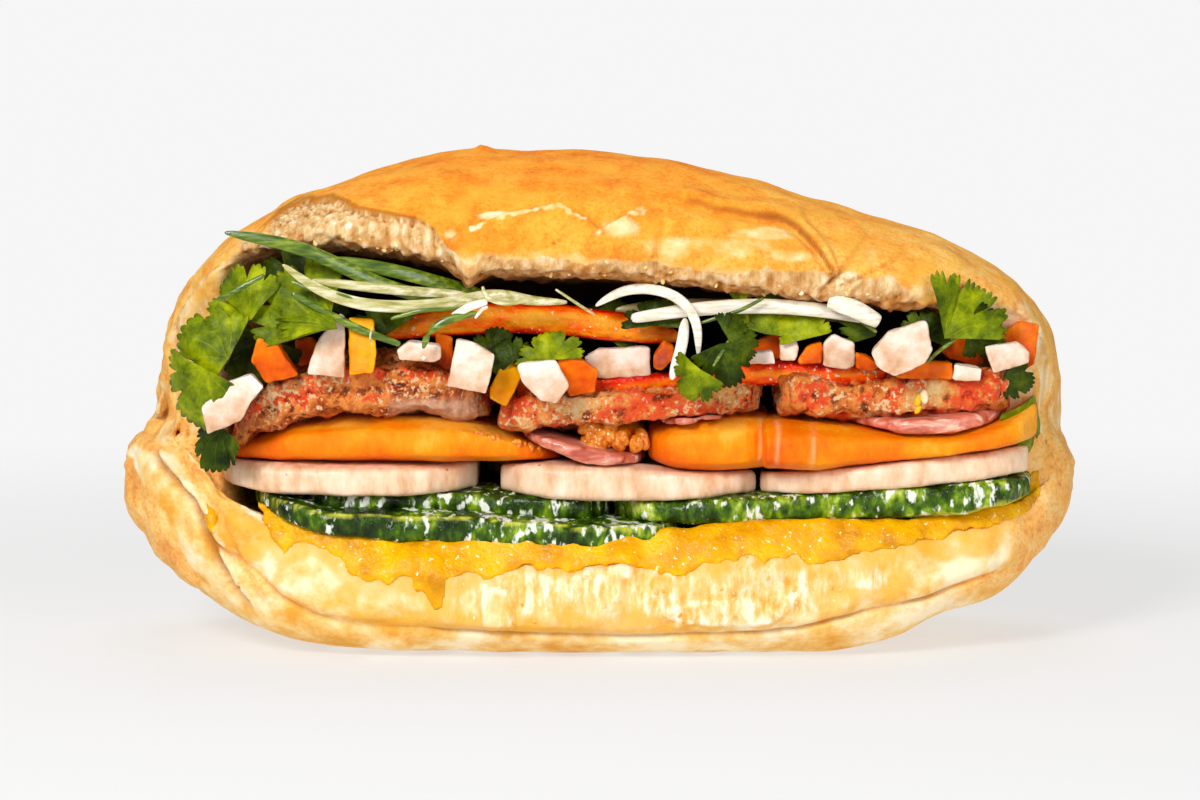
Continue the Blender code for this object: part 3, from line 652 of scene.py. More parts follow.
# %% The spread
spread = bpy.data.objects.new("yellow_spread", roll.data.copy())
scene.collection.objects.link(spread)
points, normals = places(spread), facing(spread)
x, y, z = points.T
below = lower_lip(x) + 0.6 - z
reach_down = np.where((normals[:, 2] > 0.4) & (y > -35.5) & (x > -64) & (x < 83), 9,
                      spread_depth(x) + 1.6 * grain(points, 3.0, 21) + 1.8 * grain(points, 8, 24))
bare = (below > reach_down) | (z > 46) | (y > -12) | (below < -9)
bare |= (normals[:, 2] < -0.5) | (np.abs(x) > 92) | (below < -3) & (np.abs(x) > 80)
bare |= (below < 0.2 - np.clip(x + 72, 0, None)) & (x > -79) & (x < -64) | (below < 5.5) & (x < -76)
edit(spread, bpy.ops.mesh.delete, bare, type="VERT")
apply(spread, "SMOOTH", factor=0.5, iterations=6)
apply(spread, "SOLIDIFY", thickness=1.0 * MM, offset=0.1)
apply(spread, "REMESH", mode="VOXEL", voxel_size=0.7 * MM, adaptivity=0)
apply(spread, "SMOOTH", factor=0.5, iterations=5)
points, normals = places(spread), facing(spread)
points += normals * (0.25 * grain(points, 3.5, 22) + 0.12 * grain(points, 1.2, 23))[:, None]
x, y, z = points.T
under_slices = step(-39, -34, y) * step(-3.5, 0, z - lower_lip(x)) * between(x, -70, 82, 8)
points[:, 2] += under_slices * (2.2 + 0.3 * between(x, -25, 22, 10))
move_to(spread, points)

butter, tree, shader, here = new_material("soft_butter_and_egg_mayonnaise")
patches = add(tree, "TexNoise", Vector=here, Scale=per(5), Detail=4)
tone = add(tree, "ValToRGB", Fac=patches,
           stops=[(0.3, "#c88400"), (0.44, "#e29c00"), (0.56, "#f2ae00"), (0.74, "#fcc000")])
# painted highlights: small pale glints in the spread's colour
glints = add(tree, "TexNoise", Vector=here, Scale=per(1.1), Detail=2)
glint = add(tree, "MapRange", Value=glints, From_Min=0.67, From_Max=0.71, To_Max=0.8)
buttery = add(tree, "Mix", glint, tone, "#fff4c0", **COLOURS)
beads = add(tree, "TexNoise", Vector=here, Scale=per(0.9), Detail=3)
bump = add(tree, "Bump", Height=beads, Strength=0.6, Distance=0.6 * MM)
plug(shader, Base_Color=buttery, Roughness=0.26, Normal=bump, Specular_IOR_Level=0.2, Subsurface_Weight=0.05,
     Subsurface_Radius=(1.0, 0.7, 0.1), Subsurface_Scale=1.5 * MM)
serve(spread, butter, "bread")

# %% [markdown]
# ## Slices
#
# Every slice starts the same way: a copy of its solid, remeshed evenly so that it can be
# roughened, then smoothed until only its own shape is left. A thin slice needs small voxels, or
# its edge would go lumpy.

# %% A way to start a slice
def slice_from(node, name, voxel=0.85, smoothing=8):
    """The solid's copy with an even skin of points voxel mm apart."""
    piece = copy_of(node, name)
    apply(piece, "REMESH", mode="VOXEL", voxel_size=voxel * MM, adaptivity=0)
    return apply(piece, "SMOOTH", factor=0.5, iterations=smoothing)


def square_off(piece, start, end):
    """Gives the slice its depth and height at start all the way to end, as where a knife cut it straight."""
    points = places(piece)
    x = points[:, 0]
    ticks = np.linspace(start, end, 14)
    order = np.argsort(ticks)
    past = (x - start) * np.sign(end - start) > 0
    for axis, most in ((1, 2.2), (2, 1.8)):
        along = points[:, axis]
        ranges = [along[np.abs(x - tick) < 1.2] for tick in ticks]
        middles = np.array([(part.min() + part.max()) / 2 if len(part) else along.mean() for part in ranges])
        halves = np.array([max(np.ptp(part) / 2, 0.5) if len(part) else 0.5 for part in ranges])
        centre = np.interp(x, ticks[order], middles[order])
        wanted = np.clip(halves[0] / np.interp(x, ticks[order], halves[order]), 1, most)
        points[:, axis] = np.where(past, centre + (along - centre) * wanted, along)
    move_to(piece, points)
    return piece


def stretch(piece, start, end, more):
    """Draws the slice out by more mm at end, and not at all at start."""
    points = places(piece)
    points[:, 0] += more * np.clip((points[:, 0] - start) / (end - start), 0, 1)
    move_to(piece, points)


def raise_edge(piece, top=0.0, bottom=0.0, soft=0.35):
    """Makes the slice's outward edge taller by top mm above and bottom mm below."""
    points, up = places(piece), facing(piece)[:, 2]
    depth = points[:, 1]
    outer = step(np.percentile(depth, 70), np.percentile(depth, 25), depth)
    points[:, 2] += outer * (top * step(-soft, soft, up) - bottom * step(soft, -soft, up))
    move_to(piece, points)
    return piece


def roughen(piece, *layers):
    """Pushes the skin in and out by layers of noise: how far in mm, how big its lumps are, seed."""
    points, normals = places(piece), facing(piece)
    push = sum(depth * grain(points, size, seed) for depth, size, seed in layers)
    move_to(piece, points + normals * push[:, None])
    return piece


# %% [markdown]
# ## Cucumber
#
# Long slices, cut lengthwise, so each shows a strip of dark waxy skin with a thin pale line of
# flesh along its cut edge. Wet skin is nearly a mirror, but it's finely wrinkled along its
# length, which breaks the soft boxes' reflections; white dashes and sparks of painted highlight
# are mixed into its colour as well. One slice is from a younger fruit, so it's a little paler.

# %% Cucumber
cucumber, tree, shader, here = new_material("wet_cucumber_skin_and_flesh")
flesh_here = add(tree, "Attribute", attribute_name="flesh", out="Fac")
upright = add(tree, "Mapping", Vector=here, Scale=(1, 1, 0.6))
streaks = add(tree, "TexNoise", Vector=upright, Scale=per(2.0), Detail=3, Roughness=0.5)
patches = add(tree, "TexNoise", Vector=here, Scale=per(9), Detail=3)
mixed = add(tree, "Math", patches, 0.9, streaks, operation="MULTIPLY_ADD")
young = add(tree, "Math", mixed, add(tree, "Attribute", attribute_name="young", out="Fac"))
level = add(tree, "MapRange", Value=young, From_Min=0.6, From_Max=1.3)
skin = add(tree, "ValToRGB", Fac=level,
           stops=[(0.1, "#0c1a00"), (0.4, "#243e00"), (0.6, "#426400"), (0.8, "#7c9a0c"), (1.0, "#c4d060")])
flesh = add(tree, "ValToRGB", Fac=streaks, stops=[(0.3, "#8f9a10"), (0.55, "#c6c83c"), (0.8, "#e6e288")])
# painted highlights: white dashes of sheen in the skin's colour
dashes = add(tree, "TexNoise", Vector=add(tree, "Mapping", Vector=here, Scale=(1, 1, 0.5)), Scale=per(1.7),
             Detail=3, Roughness=0.5)
sheen_area = add(tree, "Math", patches, 0.55, dashes, operation="MULTIPLY_ADD")
sheen = add(tree, "MapRange", Value=sheen_area, From_Min=0.85, From_Max=0.92, To_Max=0.85)
fresh = add(tree, "Mix", flesh_here, skin, flesh, **COLOURS)
colour = add(tree, "Mix", sheen, fresh, "#f2f6ea", **COLOURS)
wrinkles = add(tree, "Mapping", Vector=here, Scale=(1.2, 1, 0.5))
dented = add(tree, "TexNoise", Vector=wrinkles, Scale=per(2.2), Detail=4, Roughness=0.5, Distortion=0.4)
bump = add(tree, "Bump", Height=dented, Strength=1.0, Distance=1.4 * MM)
plug(shader, Base_Color=colour, Roughness=0.2, Normal=bump, Specular_IOR_Level=0.2, Coat_Weight=0.12,
     Coat_Roughness=0.05)
for node in ("cucumber_left_low", "cucumber_left_high", "cucumber_right_low", "cucumber_right_high"):
    piece = slice_from(node, node.replace("cucumber", "cucumber_slice"), smoothing=6)
    raise_edge(piece, top=1.3, bottom=0.9)
    roughen(piece, (0.5, (9, 5, 5), 31), (0.35, (3, 2, 3), 32))
    points, normals = places(piece), facing(piece)
    rim = (points[:, 1] < np.percentile(points[:, 1], 30)) * step(0.5, 0.62, np.abs(normals[:, 2]))
    above = rim * step(0.84, 0.72, normals[:, 2]) * (normals[:, 2] > 0)
    below = rim * (normals[:, 2] < 0) * step(66, 72, points[:, 0]) * (node == "cucumber_right_high")
    note(piece, "flesh", above if node.endswith("left_low") else below)
    note(piece, "young", np.full(len(points), 0.1 if node == "cucumber_right_high" else 0))
    serve(piece, cucumber, "cucumber", node)

# %% [markdown]
# ## Steamed pork roll
#
# A pale sausage of pounded pork, steamed in a leaf. Its cut side is close and smooth with faint
# upright marks where the knife dragged, a few peppercorn specks and tiny air holes.

# %% Steamed pork roll
loaf, tree, shader, here = new_material("steamed_pounded_pork")
upright = add(tree, "Mapping", Vector=here, Scale=(1, 0.5, 0.4))
drag = add(tree, "TexNoise", Vector=upright, Scale=per(3.2), Detail=8, Roughness=0.6)
tone = add(tree, "ValToRGB", Fac=drag,
           stops=[(0.34, "#d6a67c"), (0.46, "#e6c09a"), (0.56, "#efd0b0"), (0.7, "#f8e0c8")])
pepper_dots = add(tree, "TexVoronoi", Vector=here, Scale=per(5.5))
dotted = add(tree, "ValToRGB", Fac=pepper_dots, stops=[(0.045, "#9a5a2a"), (0.085, "#ffffff")])
colour = add(tree, "Mix", 0.8, tone, dotted, blend_type="MULTIPLY", **COLOURS)
bump = add(tree, "Bump", Height=drag, Strength=0.3, Distance=0.5 * MM)
plug(shader, Base_Color=colour, Roughness=0.42, Normal=bump, Subsurface_Weight=0.2,
     Subsurface_Radius=(1.0, 0.5, 0.3), Subsurface_Scale=1.5 * MM)
for node in ("pork_roll_left", "pork_roll_middle_front", "pork_roll_middle_back", "pork_roll_right_front",
             "pork_roll_right_back"):
    piece = raise_edge(slice_from(node, node.replace("pork_roll", "pork_roll_slice"), smoothing=5), top=0.8)
    roughen(piece, (0.3, 8, 41), (0.12, (1.3, 1.3, 5), 42))
    serve(piece, loaf, "pork_roll", node)

# %% [markdown]
# ## Tomato
#
# Thick slices of a ripe orange tomato lie on their sides, so what faces out is skin and the
# firm outer wall: smooth, satin, with faint streaks under the skin, and painted lighter towards
# its top as painted light, so deeper orange towards its lower edge. The cut faces above and below
# are redder and wetter.

# %% Tomato
tomato, tree, shader, here = new_material("ripe_orange_tomato")
glow_here = add(tree, "Attribute", attribute_name="glow", out="Fac")
line_here = add(tree, "Attribute", attribute_name="line", out="Fac")
swell = add(tree, "TexNoise", Vector=here, Scale=per(13), Detail=3)
threads = add(tree, "TexNoise", Vector=add(tree, "Mapping", Vector=here, Scale=(1, 1, 0.45)), Scale=per(1.3),
              Detail=7, Roughness=0.7)
tone = add(tree, "Math", threads, 0.35, swell, operation="MULTIPLY_ADD")
ripe = add(tree, "Math", glow_here, 0.3, tone, operation="MULTIPLY_ADD")
wall_colour = add(tree, "ValToRGB", Fac=ripe,
                  stops=[(0.46, "#e04e00"), (0.62, "#f66a00"), (0.78, "#fb8300"), (0.92, "#fd9a0c"),
                         (1.0, "#ffae34")])
colour = add(tree, "Mix", line_here, wall_colour, "#ffd59a", **COLOURS)
bump = add(tree, "Bump", Height=threads, Strength=0.6, Distance=0.8 * MM)
plug(shader, Base_Color=colour, Roughness=0.4, Normal=bump, Specular_IOR_Level=0.15, Subsurface_Weight=0.1,
     Subsurface_Radius=(1.0, 0.35, 0.1), Subsurface_Scale=1.2 * MM)
STREAKS = {"tomato_middle": (32.6,), "tomato_right": (35.8, 43.0)}
for node in ("tomato_left", "tomato_core", "tomato_middle", "tomato_right"):
    piece = slice_from(node, node.replace("tomato", "tomato_slice"), smoothing=6)
    if node == "tomato_middle":
        square_off(piece, 24, 33.6)
        stretch(piece, 24, 33.6, 1.1)
    if node == "tomato_right":
        square_off(piece, 58, 34.6)
        stretch(piece, 44, 34.6, -1.4)
    raise_edge(piece, top=0.7)
    roughen(piece, (0.4, 9, 51), (0.1, 1.6, 52))
    points, normals = places(piece), facing(piece)
    x, y, z = points.T
    # painted light: the outward face is lighter towards its top
    note(piece, "glow", step(z.min(), z.max(), z) * step(0.2, -0.2, normals[:, 1]))
    streaks = sum(near(x - at - 0.06 * (z - 44), 0.35) for at in STREAKS.get(node, ()))
    note(piece, "line", np.clip(0.45 * streaks * (normals[:, 1] < 0) * step(39, 42, z), 0, 1))
    serve(piece, tomato, "tomato", node)

# %% [markdown]
# ## Ham
#
# Thin cold ham, folded in loosely: moist, pink, with a paler rim and a few pale veins of fat.

# %% Ham
ham, tree, shader, here = new_material("moist_cold_ham")
veins = add(tree, "TexNoise", Vector=add(tree, "Mapping", Vector=here, Scale=(0.35, 1, 1)), Scale=per(2.0),
            Detail=7, Distortion=0.8)
colour = add(tree, "ValToRGB", Fac=veins,
             stops=[(0.32, "#b04a32"), (0.46, "#d4745a"), (0.57, "#e0907a"), (0.65, "#f6ccb0"),
                    (0.74, "#e8a28e")])
bump = add(tree, "Bump", Height=veins, Strength=0.7, Distance=0.8 * MM)
plug(shader, Base_Color=colour, Roughness=0.3, Normal=bump, Coat_Weight=0.3, Coat_Roughness=0.15,
     Subsurface_Weight=0.2, Subsurface_Radius=(1.0, 0.4, 0.3), Subsurface_Scale=1.4 * MM)
for node in ("ham_middle", "ham_thin", "ham_right"):
    piece = raise_edge(slice_from(node, node.replace("ham", "ham_slice"), voxel=0.7, smoothing=5), top=0.6)
    roughen(piece, (0.4, (6, 5, 3), 61), (0.2, 2, 62))
    serve(piece, ham, "ham", node)

# %% [markdown]
# ## Roast pork
#
# Barbecued pork with a marinade baked on as a rough bark: brown and red crusts and orange grains,
# with painted highlights of pale sparks, each in an orange halo. Grain this coarse shows on the
# outline too, so it has to be in the mesh. Four sizes of noise push the skin about, and the
# material paints shade into the hollows and light onto the ridges by how pointed the mesh is.

# %% Roast pork
bark, tree, shader, here = new_material("barbecued_pork_bark")
ridge = add(tree, "NewGeometry", out="Pointiness")
grains = add(tree, "TexNoise", Vector=here, Scale=per(2.0), Detail=8, Roughness=0.8)
areas = add(tree, "TexNoise", Vector=here, Scale=per(13), Detail=9, Roughness=0.66)
meat_here = add(tree, "Attribute", attribute_name="meat", out="Fac")
patches = add(tree, "ValToRGB", Fac=areas,
              stops=[(0.34, "#9c3c08"), (0.41, "#e4701e"), (0.46, "#ffa044"), (0.5, "#ff4812"),
                     (0.56, "#fc6224"), (0.61, "#ffaa50"), (0.68, "#ffd894")])
# painted shade in the hollows and painted light on the ridges, by how pointed the mesh is, over the real pits
# of the grain
hollow_here = add(tree, "MapRange", Value=ridge, From_Min=0.42, From_Max=0.52)
pits = add(tree, "Math", hollow_here, 0.3, grains, operation="MULTIPLY_ADD")
pitted = add(tree, "ValToRGB", Fac=pits, stops=[(0.57, "#4a1c08"), (0.65, "#b86438"), (0.73, "#ffffff")])
crusted = add(tree, "Mix", 0.85, patches, pitted, blend_type="MULTIPLY", **COLOURS)
# painted highlights: pale glints, each in an orange halo, in clusters
sugar = add(tree, "TexNoise", Vector=here, Scale=per(0.95), Detail=3, Roughness=0.6)
clusters = add(tree, "TexNoise", Vector=here, Scale=per(9), Detail=2)
crowded = add(tree, "Math", clusters, 0.7, sugar, operation="MULTIPLY_ADD")
halo = add(tree, "MapRange", Value=crowded, From_Min=0.89, From_Max=0.95, To_Max=0.8)
glazed = add(tree, "Mix", halo, crusted, "#ffa04c", **COLOURS)
sparks = add(tree, "MapRange", Value=crowded, From_Min=0.95, From_Max=0.98)
sparkling = add(tree, "Mix", sparks, glazed, "#ffdaa6", **COLOURS)
inner = add(tree, "ValToRGB", Fac=grains, stops=[(0.3, "#c87a52"), (0.5, "#e8b08a"), (0.7, "#f8dcc4")])
colour = add(tree, "Mix", meat_here, sparkling, inner, **COLOURS)
bump = add(tree, "Bump", Height=grains, Strength=1.0, Distance=1.1 * MM)
plug(shader, Base_Color=colour, Roughness=0.3, Normal=bump, Specular_IOR_Level=0.4, Coat_Weight=0.15,
     Coat_Roughness=0.1)
for node in ("roast_pork_left", "roast_pork_middle", "roast_pork_right"):
    piece = slice_from(node, node.replace("roast_pork", "roast_pork_slice"), voxel=0.6, smoothing=3)
    if node != "roast_pork_left":
        low, high = (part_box(node)[i].x / MM for i in (0, 1))
        square_off(piece, low + 12, low + 0.5)
        square_off(piece, high - 10, high - 0.5)
    raise_edge(piece, top=1.8, bottom=0.5)
    points, normals = places(piece), facing(piece)
    crags = 1.8 * grain(points, (7, 7, 5), 71) - 1.2 * np.abs(grain(points, 3.4, 72))
    crags += 0.7 * grain(points, 1.7, 73)
    x, y, z = points.T
    meat = step(54.5, 52.5, z) * between(x, -41, -27, 3) * (y < -20)
    crags += 0.3 * grain(points, 0.8, 74) * (1 - meat)
    move_to(piece, points + normals * (crags + 0.35)[:, None])
    note(piece, "meat", np.clip(meat, 0, 1))
    serve(piece, bark, "roast_pork", node)

# %% [markdown]
# ## Pickled daikon and carrot
#
# Roots cut by hand into rough cubes and soaked in sweet vinegar: firm, crisp-edged, a little
# glassy, no two alike. Each is drawn as the outline of the face that looks out, round the middle
# of its solid, then given its depth by an extrude, a fine bevel for the knife's edge, and some
# unevenness. The bevels get painted light, paler than the faces, and each piece gets painted shade
# towards its bottom.

# %% Pickle materials
def pickle_material(name, edge, radius, glow, stops):
    """Firm wet root, with painted light on its bevels and painted shade towards its bottom."""
    made, tree, shader, here = new_material(name)
    cloudy = add(tree, "TexNoise", Vector=here, Scale=per(5), Detail=5, Roughness=0.6)
    # painted shade: each piece is darker towards its bottom
    lower_here = add(tree, "Attribute", attribute_name="lower", out="Fac")
    shaded = add(tree, "Math", lower_here, -0.28, cloudy, operation="MULTIPLY_ADD")
    tone = add(tree, "ValToRGB", Fac=add(tree, "Math", shaded, 0.12), stops=stops)
    # painted light: paler colour on the bevels, by how pointed the mesh is
    sharp = add(tree, "MapRange", Value=add(tree, "NewGeometry", out="Pointiness"), From_Min=0.53,
                From_Max=0.62, To_Max=0.8)
    colour = add(tree, "Mix", sharp, tone, edge, **COLOURS)
    pitted = add(tree, "TexNoise", Vector=here, Scale=per(1.0), Detail=5)
    bump = add(tree, "Bump", Height=pitted, Strength=0.25, Distance=0.4 * MM)
    plug(shader, Base_Color=colour, Roughness=0.42, Normal=bump, Specular_IOR_Level=0.12,
         Subsurface_Weight=glow, Subsurface_Radius=radius, Subsurface_Scale=2.0 * MM)
    return made


daikon = pickle_material("pickled_daikon", "#fff8ee", (1.0, 0.6, 0.35), 0.12,
                         [(0.24, "#cc9870"), (0.42, "#e2bea0"), (0.58, "#f1dcca"), (0.74, "#fbeee2")])
carrot = pickle_material("pickled_carrot", "#ff9c20", (1.0, 0.3, 0.05), 0.06,
                         [(0.24, "#a83000"), (0.42, "#d45000"), (0.6, "#ec6a00"), (0.76, "#f98608")])
golden_carrot = pickle_material("pickled_yellow_carrot", "#ffd020", (1.0, 0.4, 0.05), 0.06,
                                [(0.24, "#ee8400"), (0.42, "#fea000"), (0.6, "#ffb600"), (0.76, "#ffc800")])

# %% Pickles
OUTLINES = {                   # the outward face, round the solid's middle, in millimetres
    "daikon_a": ((-6.4, -0.8), (-2.8, 3.8), (4, 6.2), (6.6, 3.6), (3.6, -0.2), (1.8, -3.4), (-5.2, -6.4)),
    "carrot_b": ((-3.4, 4.8), (0.2, 4.6), (3, -0.4), (4.8, -2.8), (2.4, -3.6), (-1.6, -4.4), (-4.8, 0)),
    "carrot_b_back": ((-2.6, 2.4), (1, 3), (2.6, 1), (2.4, -2.6), (-1.8, -3)),
    "daikon_c": ((2.9, 6.7), (3.9, 5.8), (3.9, -6.4), (-3.7, -5.4), (-1.5, 1.4)),
    "carrot_d": ((-2.9, 5.3), (2.3, 4.9), (2.9, -1.7), (2.3, -5.7), (-2.5, -6.4)),
    "daikon_e": ((-4.4, 0.2), (-2, 2.2), (4.6, 1.2), (4.6, -1.6), (3.4, -2.2), (-4, -1.8)),
    "carrot_f": ((-1.7, 3.6), (1.9, 2.6), (1.9, -3.8), (0, -4.4), (-1.3, -2.8)),
    "daikon_g": ((-3.2, 5.3), (0, 4.6), (4.8, 2.2), (3, -5.8), (-5, -4.2)),
    "carrot_h": ((0.6, 4.4), (3.8, 0.8), (0.4, -5.4), (-3, -3.6), (-3, -1.8), (-1, 2.4)),
    "carrot_h_back": ((-1.6, 2.2), (1.6, 0.4), (3, -2), (-2.6, -3.2)),
    "daikon_i": ((-5.4, 4), (2, 4.6), (5, -0.8), (2.2, -4.4), (-0.8, -3.8), (-4.8, 0.2), (-5.8, 3)),
    "carrot_j": ((-4.2, 4), (0.4, 4), (4.2, 1.4), (3.4, -3), (-1.6, -4), (-4.2, 0)),
    "daikon_k": ((-7.4, 0.6), (-4.4, 2.2), (6.4, 2.6), (6.6, -3.4), (-4.4, -3.6)),
    "carrot_l": ((-2.6, 0), (-0.4, 3.2), (1.8, 2), (1.6, -0.6), (-1, -3), (-2.6, -2.6)),
    "daikon_m": ((-4.2, -1), (-2.2, 0.6), (2.8, 1), (3.4, -1.8), (-3.6, -2)),
    "carrot_m_back": ((-2, 0.2), (4, 3), (5.2, 2.4), (4.6, -2.8), (1, -2.4)),
    "daikon_n": ((-1.6, 2.8), (0.6, 3.4), (2, -0.6), (1.4, -3.2), (-2, -3.2)),
    "carrot_o": ((-3.2, -1.2), (-1.2, 1.4), (1.8, 2.4), (1.8, -2.2), (-3, -2.2)),
    "daikon_p": ((-3.4, 1.4), (-1.4, 3.2), (3, 1.4), (3, -3.4), (1.4, -4.2), (-3.6, -3.2)),
    "carrot_q": ((-3.2, 2), (-0.8, 1.2), (2.2, -0.8), (0.4, -2), (-2.8, -1.4)),
    "daikon_r": ((-6.4, -0.7), (-3, 3.4), (2.4, 5.1), (4.8, 5.7), (5.8, 0), (4.4, -2.8), (-1.8, -5.4),
                 (-5.4, -3.6)),
    "carrot_s": ((-6.8, -1.4), (-2.8, 2), (5.2, 1.6), (5, -1.8), (-4, -1.6)),
    "daikon_t": ((-3.4, 1.7), (2.4, 0.8), (2, -1.9), (-3.6, -1.7)),
    "carrot_u": ((-5, -0.4), (0.2, 3.6), (2.2, 3), (4.2, -3), (3.2, -4.4), (-2.8, -2.4)),
    "daikon_v": ((-5.4, 2), (1.6, 2.8), (4, 0.6), (3.6, -1.4), (-3.8, -3.4)),
    "carrot_w": ((-4.4, 3.4), (0, 6.4), (3.6, 5.6), (2.8, -2.4), (-2.4, -5.4), (-4, -4.6)),
}


def chunk(node):
    """A cut piece of root with its outline from the table and its depth from its solid."""
    low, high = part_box(node)
    outline = np.array(OUTLINES[node])
    if np.sum(np.cross(outline, np.roll(outline, -1, axis=0))) < 0:
        outline = outline[::-1]
    seed = sum(ord(letter) for letter in node)
    lean_x, lean_z = 0.22 * math.sin(seed), 0.1 + 0.16 * math.cos(1.7 * seed)
    only(roll)
    bpy.ops.mesh.primitive_circle_add(vertices=len(outline), fill_type="NGON")
    piece = bpy.context.active_object
    piece.name = node.replace("_", "_cube_", 1)
    middle = (low + high) / 2 / MM
    depth = (high.y - low.y) / MM * 0.82
    across, up = outline.T
    face_out = np.stack([across, lean_x * across + lean_z * up, up], axis=1)
    move_to(piece, face_out + np.array([middle.x, low.y / MM + 0.8, middle.z]))
    bpy.ops.object.mode_set(mode="EDIT")
    bpy.ops.mesh.select_all(action="SELECT")
    bpy.ops.mesh.extrude_region_move(TRANSFORM_OT_translate={"value": (0, depth * MM, 0)})
    bpy.ops.transform.resize(value=(0.9, 1, 0.9),
                             center_override=(middle.x * MM, middle.y * MM, middle.z * MM))
    bpy.ops.mesh.select_all(action="SELECT")
    bpy.ops.mesh.normals_make_consistent(inside=False)
    bpy.ops.mesh.bevel(offset=0.35 * MM, segments=2, affect="EDGES")
    bpy.ops.mesh.quads_convert_to_tris()
    bpy.ops.object.mode_set(mode="OBJECT")
    apply(piece, "REMESH", mode="VOXEL", voxel_size=0.38 * MM, adaptivity=0)
    apply(piece, "SMOOTH", factor=0.5, iterations=1)
    roughen(piece, (0.3, 4, seed), (0.12, 1.3, seed + 1))
    z = places(piece)[:, 2]
    # how low each point lies, read by the material as painted shade
    note(piece, "lower", np.clip((z.max() - z) / (z.max() - z.min()), 0, 1))
    return piece


GOLDEN = ("carrot_h", "carrot_d")
for node in OUTLINES:
    kind = daikon if node.startswith("daikon") else golden_carrot if node in GOLDEN else carrot
    serve(chunk(node), kind, node.split("_")[0], node)

# %% [markdown]
# ## Red pepper
#
# Strips of red pepper: a taut, very glossy skin, orange-red where the light comes through the
# wall, which is painted light, and dark red along the cut edges, with a few painted highlights as
# sparkles.

# %% Red pepper
def across_strip(piece):
    """How near each point is to the strip's upper or lower edge, 0 in the middle and 1 at the edge."""
    points = places(piece)
    x, z = points[:, 0], points[:, 2]
    bins = np.clip(((x - x.min()) / 2.0).astype(int), 0, None)
    low = np.array([z[bins == b].min() if (bins == b).any() else 0 for b in range(bins.max() + 1)])
    high = np.array([z[bins == b].max() if (bins == b).any() else 1 for b in range(bins.max() + 1)])
    return np.abs((z - low[bins]) / np.maximum(high[bins] - low[bins], 0.5) * 2 - 1)


def strip_from(node, name, levels=3):
    """The solid's copy, made of quads again and subdivided until it's round."""
    piece = copy_of(node, name)
    edit(piece, bpy.ops.mesh.tris_convert_to_quads, face_threshold=1.2, shape_threshold=1.2)
    return apply(piece, "SUBSURF", levels=levels, render_levels=levels)


pepper, tree, shader, here = new_material("glossy_red_pepper_skin")
edge_here = add(tree, "Attribute", attribute_name="edge", out="Fac")
swirl = add(tree, "TexNoise", Vector=add(tree, "Mapping", Vector=here, Scale=(0.3, 1, 1)), Scale=per(2.2),
            Detail=4)
edge_square = add(tree, "Math", edge_here, 3.2, operation="POWER")
red_here = add(tree, "Math", add(tree, "Attribute", attribute_name="red", out="Fac"), swirl, operation="ADD")
level = add(tree, "Math", edge_square, 0.6, red_here, operation="MULTIPLY_ADD")
# painted light: the middle of the strip is lighter orange, as light through the wall, and the cut edges are
# dark red
ripeness = add(tree, "ValToRGB", Fac=level,
               stops=[(0.4, "#ffb02c"), (0.56, "#ff920e"), (0.7, "#fc6400"), (0.87, "#ea3000"),
                      (1.0, "#bc1400")])
# painted highlights: small pale sparkles in clusters
flecks = add(tree, "TexNoise", Vector=here, Scale=per(0.9), Detail=2)
damp = add(tree, "TexNoise", Vector=here, Scale=per(8), Detail=1)
twinkle = add(tree, "MapRange", Value=add(tree, "Math", damp, 0.6, flecks, operation="MULTIPLY_ADD"),
              From_Min=1.0, From_Max=1.04, To_Max=0.8)
colour = add(tree, "Mix", twinkle, ripeness, "#ffe6c0", **COLOURS)
dents = add(tree, "TexNoise", Vector=here, Scale=per(2.4), Detail=4)
bump = add(tree, "Bump", Height=dents, Strength=0.8, Distance=1.6 * MM)
plug(shader, Base_Color=colour, Roughness=0.24, Normal=bump, Specular_IOR_Level=0.15, Coat_Weight=0.12,
     Coat_Roughness=0.04)
for node in ("pepper_top", "pepper_right", "pepper_low", "pepper_under", "pepper_end"):
    piece = strip_from(node, node.replace("pepper", "pepper_strip"))
    points, normals = places(piece), facing(piece)
    fuller = {"pepper_top": 0.5, "pepper_right": 1.1, "pepper_low": 0.8}.get(node, 0.3)
    move_to(piece, points + normals * np.array([0.3, 0.3, 1]) * fuller)
    roughen(piece, (0.3, (7, 3, 3), 81))
    note(piece, "edge", across_strip(piece))
    note(piece, "red", np.full(len(points), 0 if node == "pepper_top" else 0.26))
    serve(piece, pepper, "pepper", node)

# %% [markdown]
# ## Spring onion
#
# Shreds cut along the plant: dark green leaf at one end, pale green to white stem at the other,
# with fine parallel ribs along them and a damp shine.

# %% Spring onion
def onion_material(name, stops):
    """A ribbed, damp shred of leaf or stem."""
    made, tree, shader, here = new_material(name)
    ribs = add(tree, "TexNoise", Vector=add(tree, "Mapping", Vector=here, Scale=(0.12, 1, 1)), Scale=per(0.8),
               Detail=4, Roughness=0.6)
    tone = add(tree, "ValToRGB", Fac=ribs, stops=stops)
    bump = add(tree, "Bump", Height=ribs, Strength=0.4, Distance=0.4 * MM)
    plug(shader, Base_Color=tone, Roughness=0.3, Normal=bump, Coat_Weight=0.3, Coat_Roughness=0.12,
         Subsurface_Weight=0.1, Subsurface_Radius=(0.6, 1.0, 0.3), Subsurface_Scale=1.0 * MM)
    return made


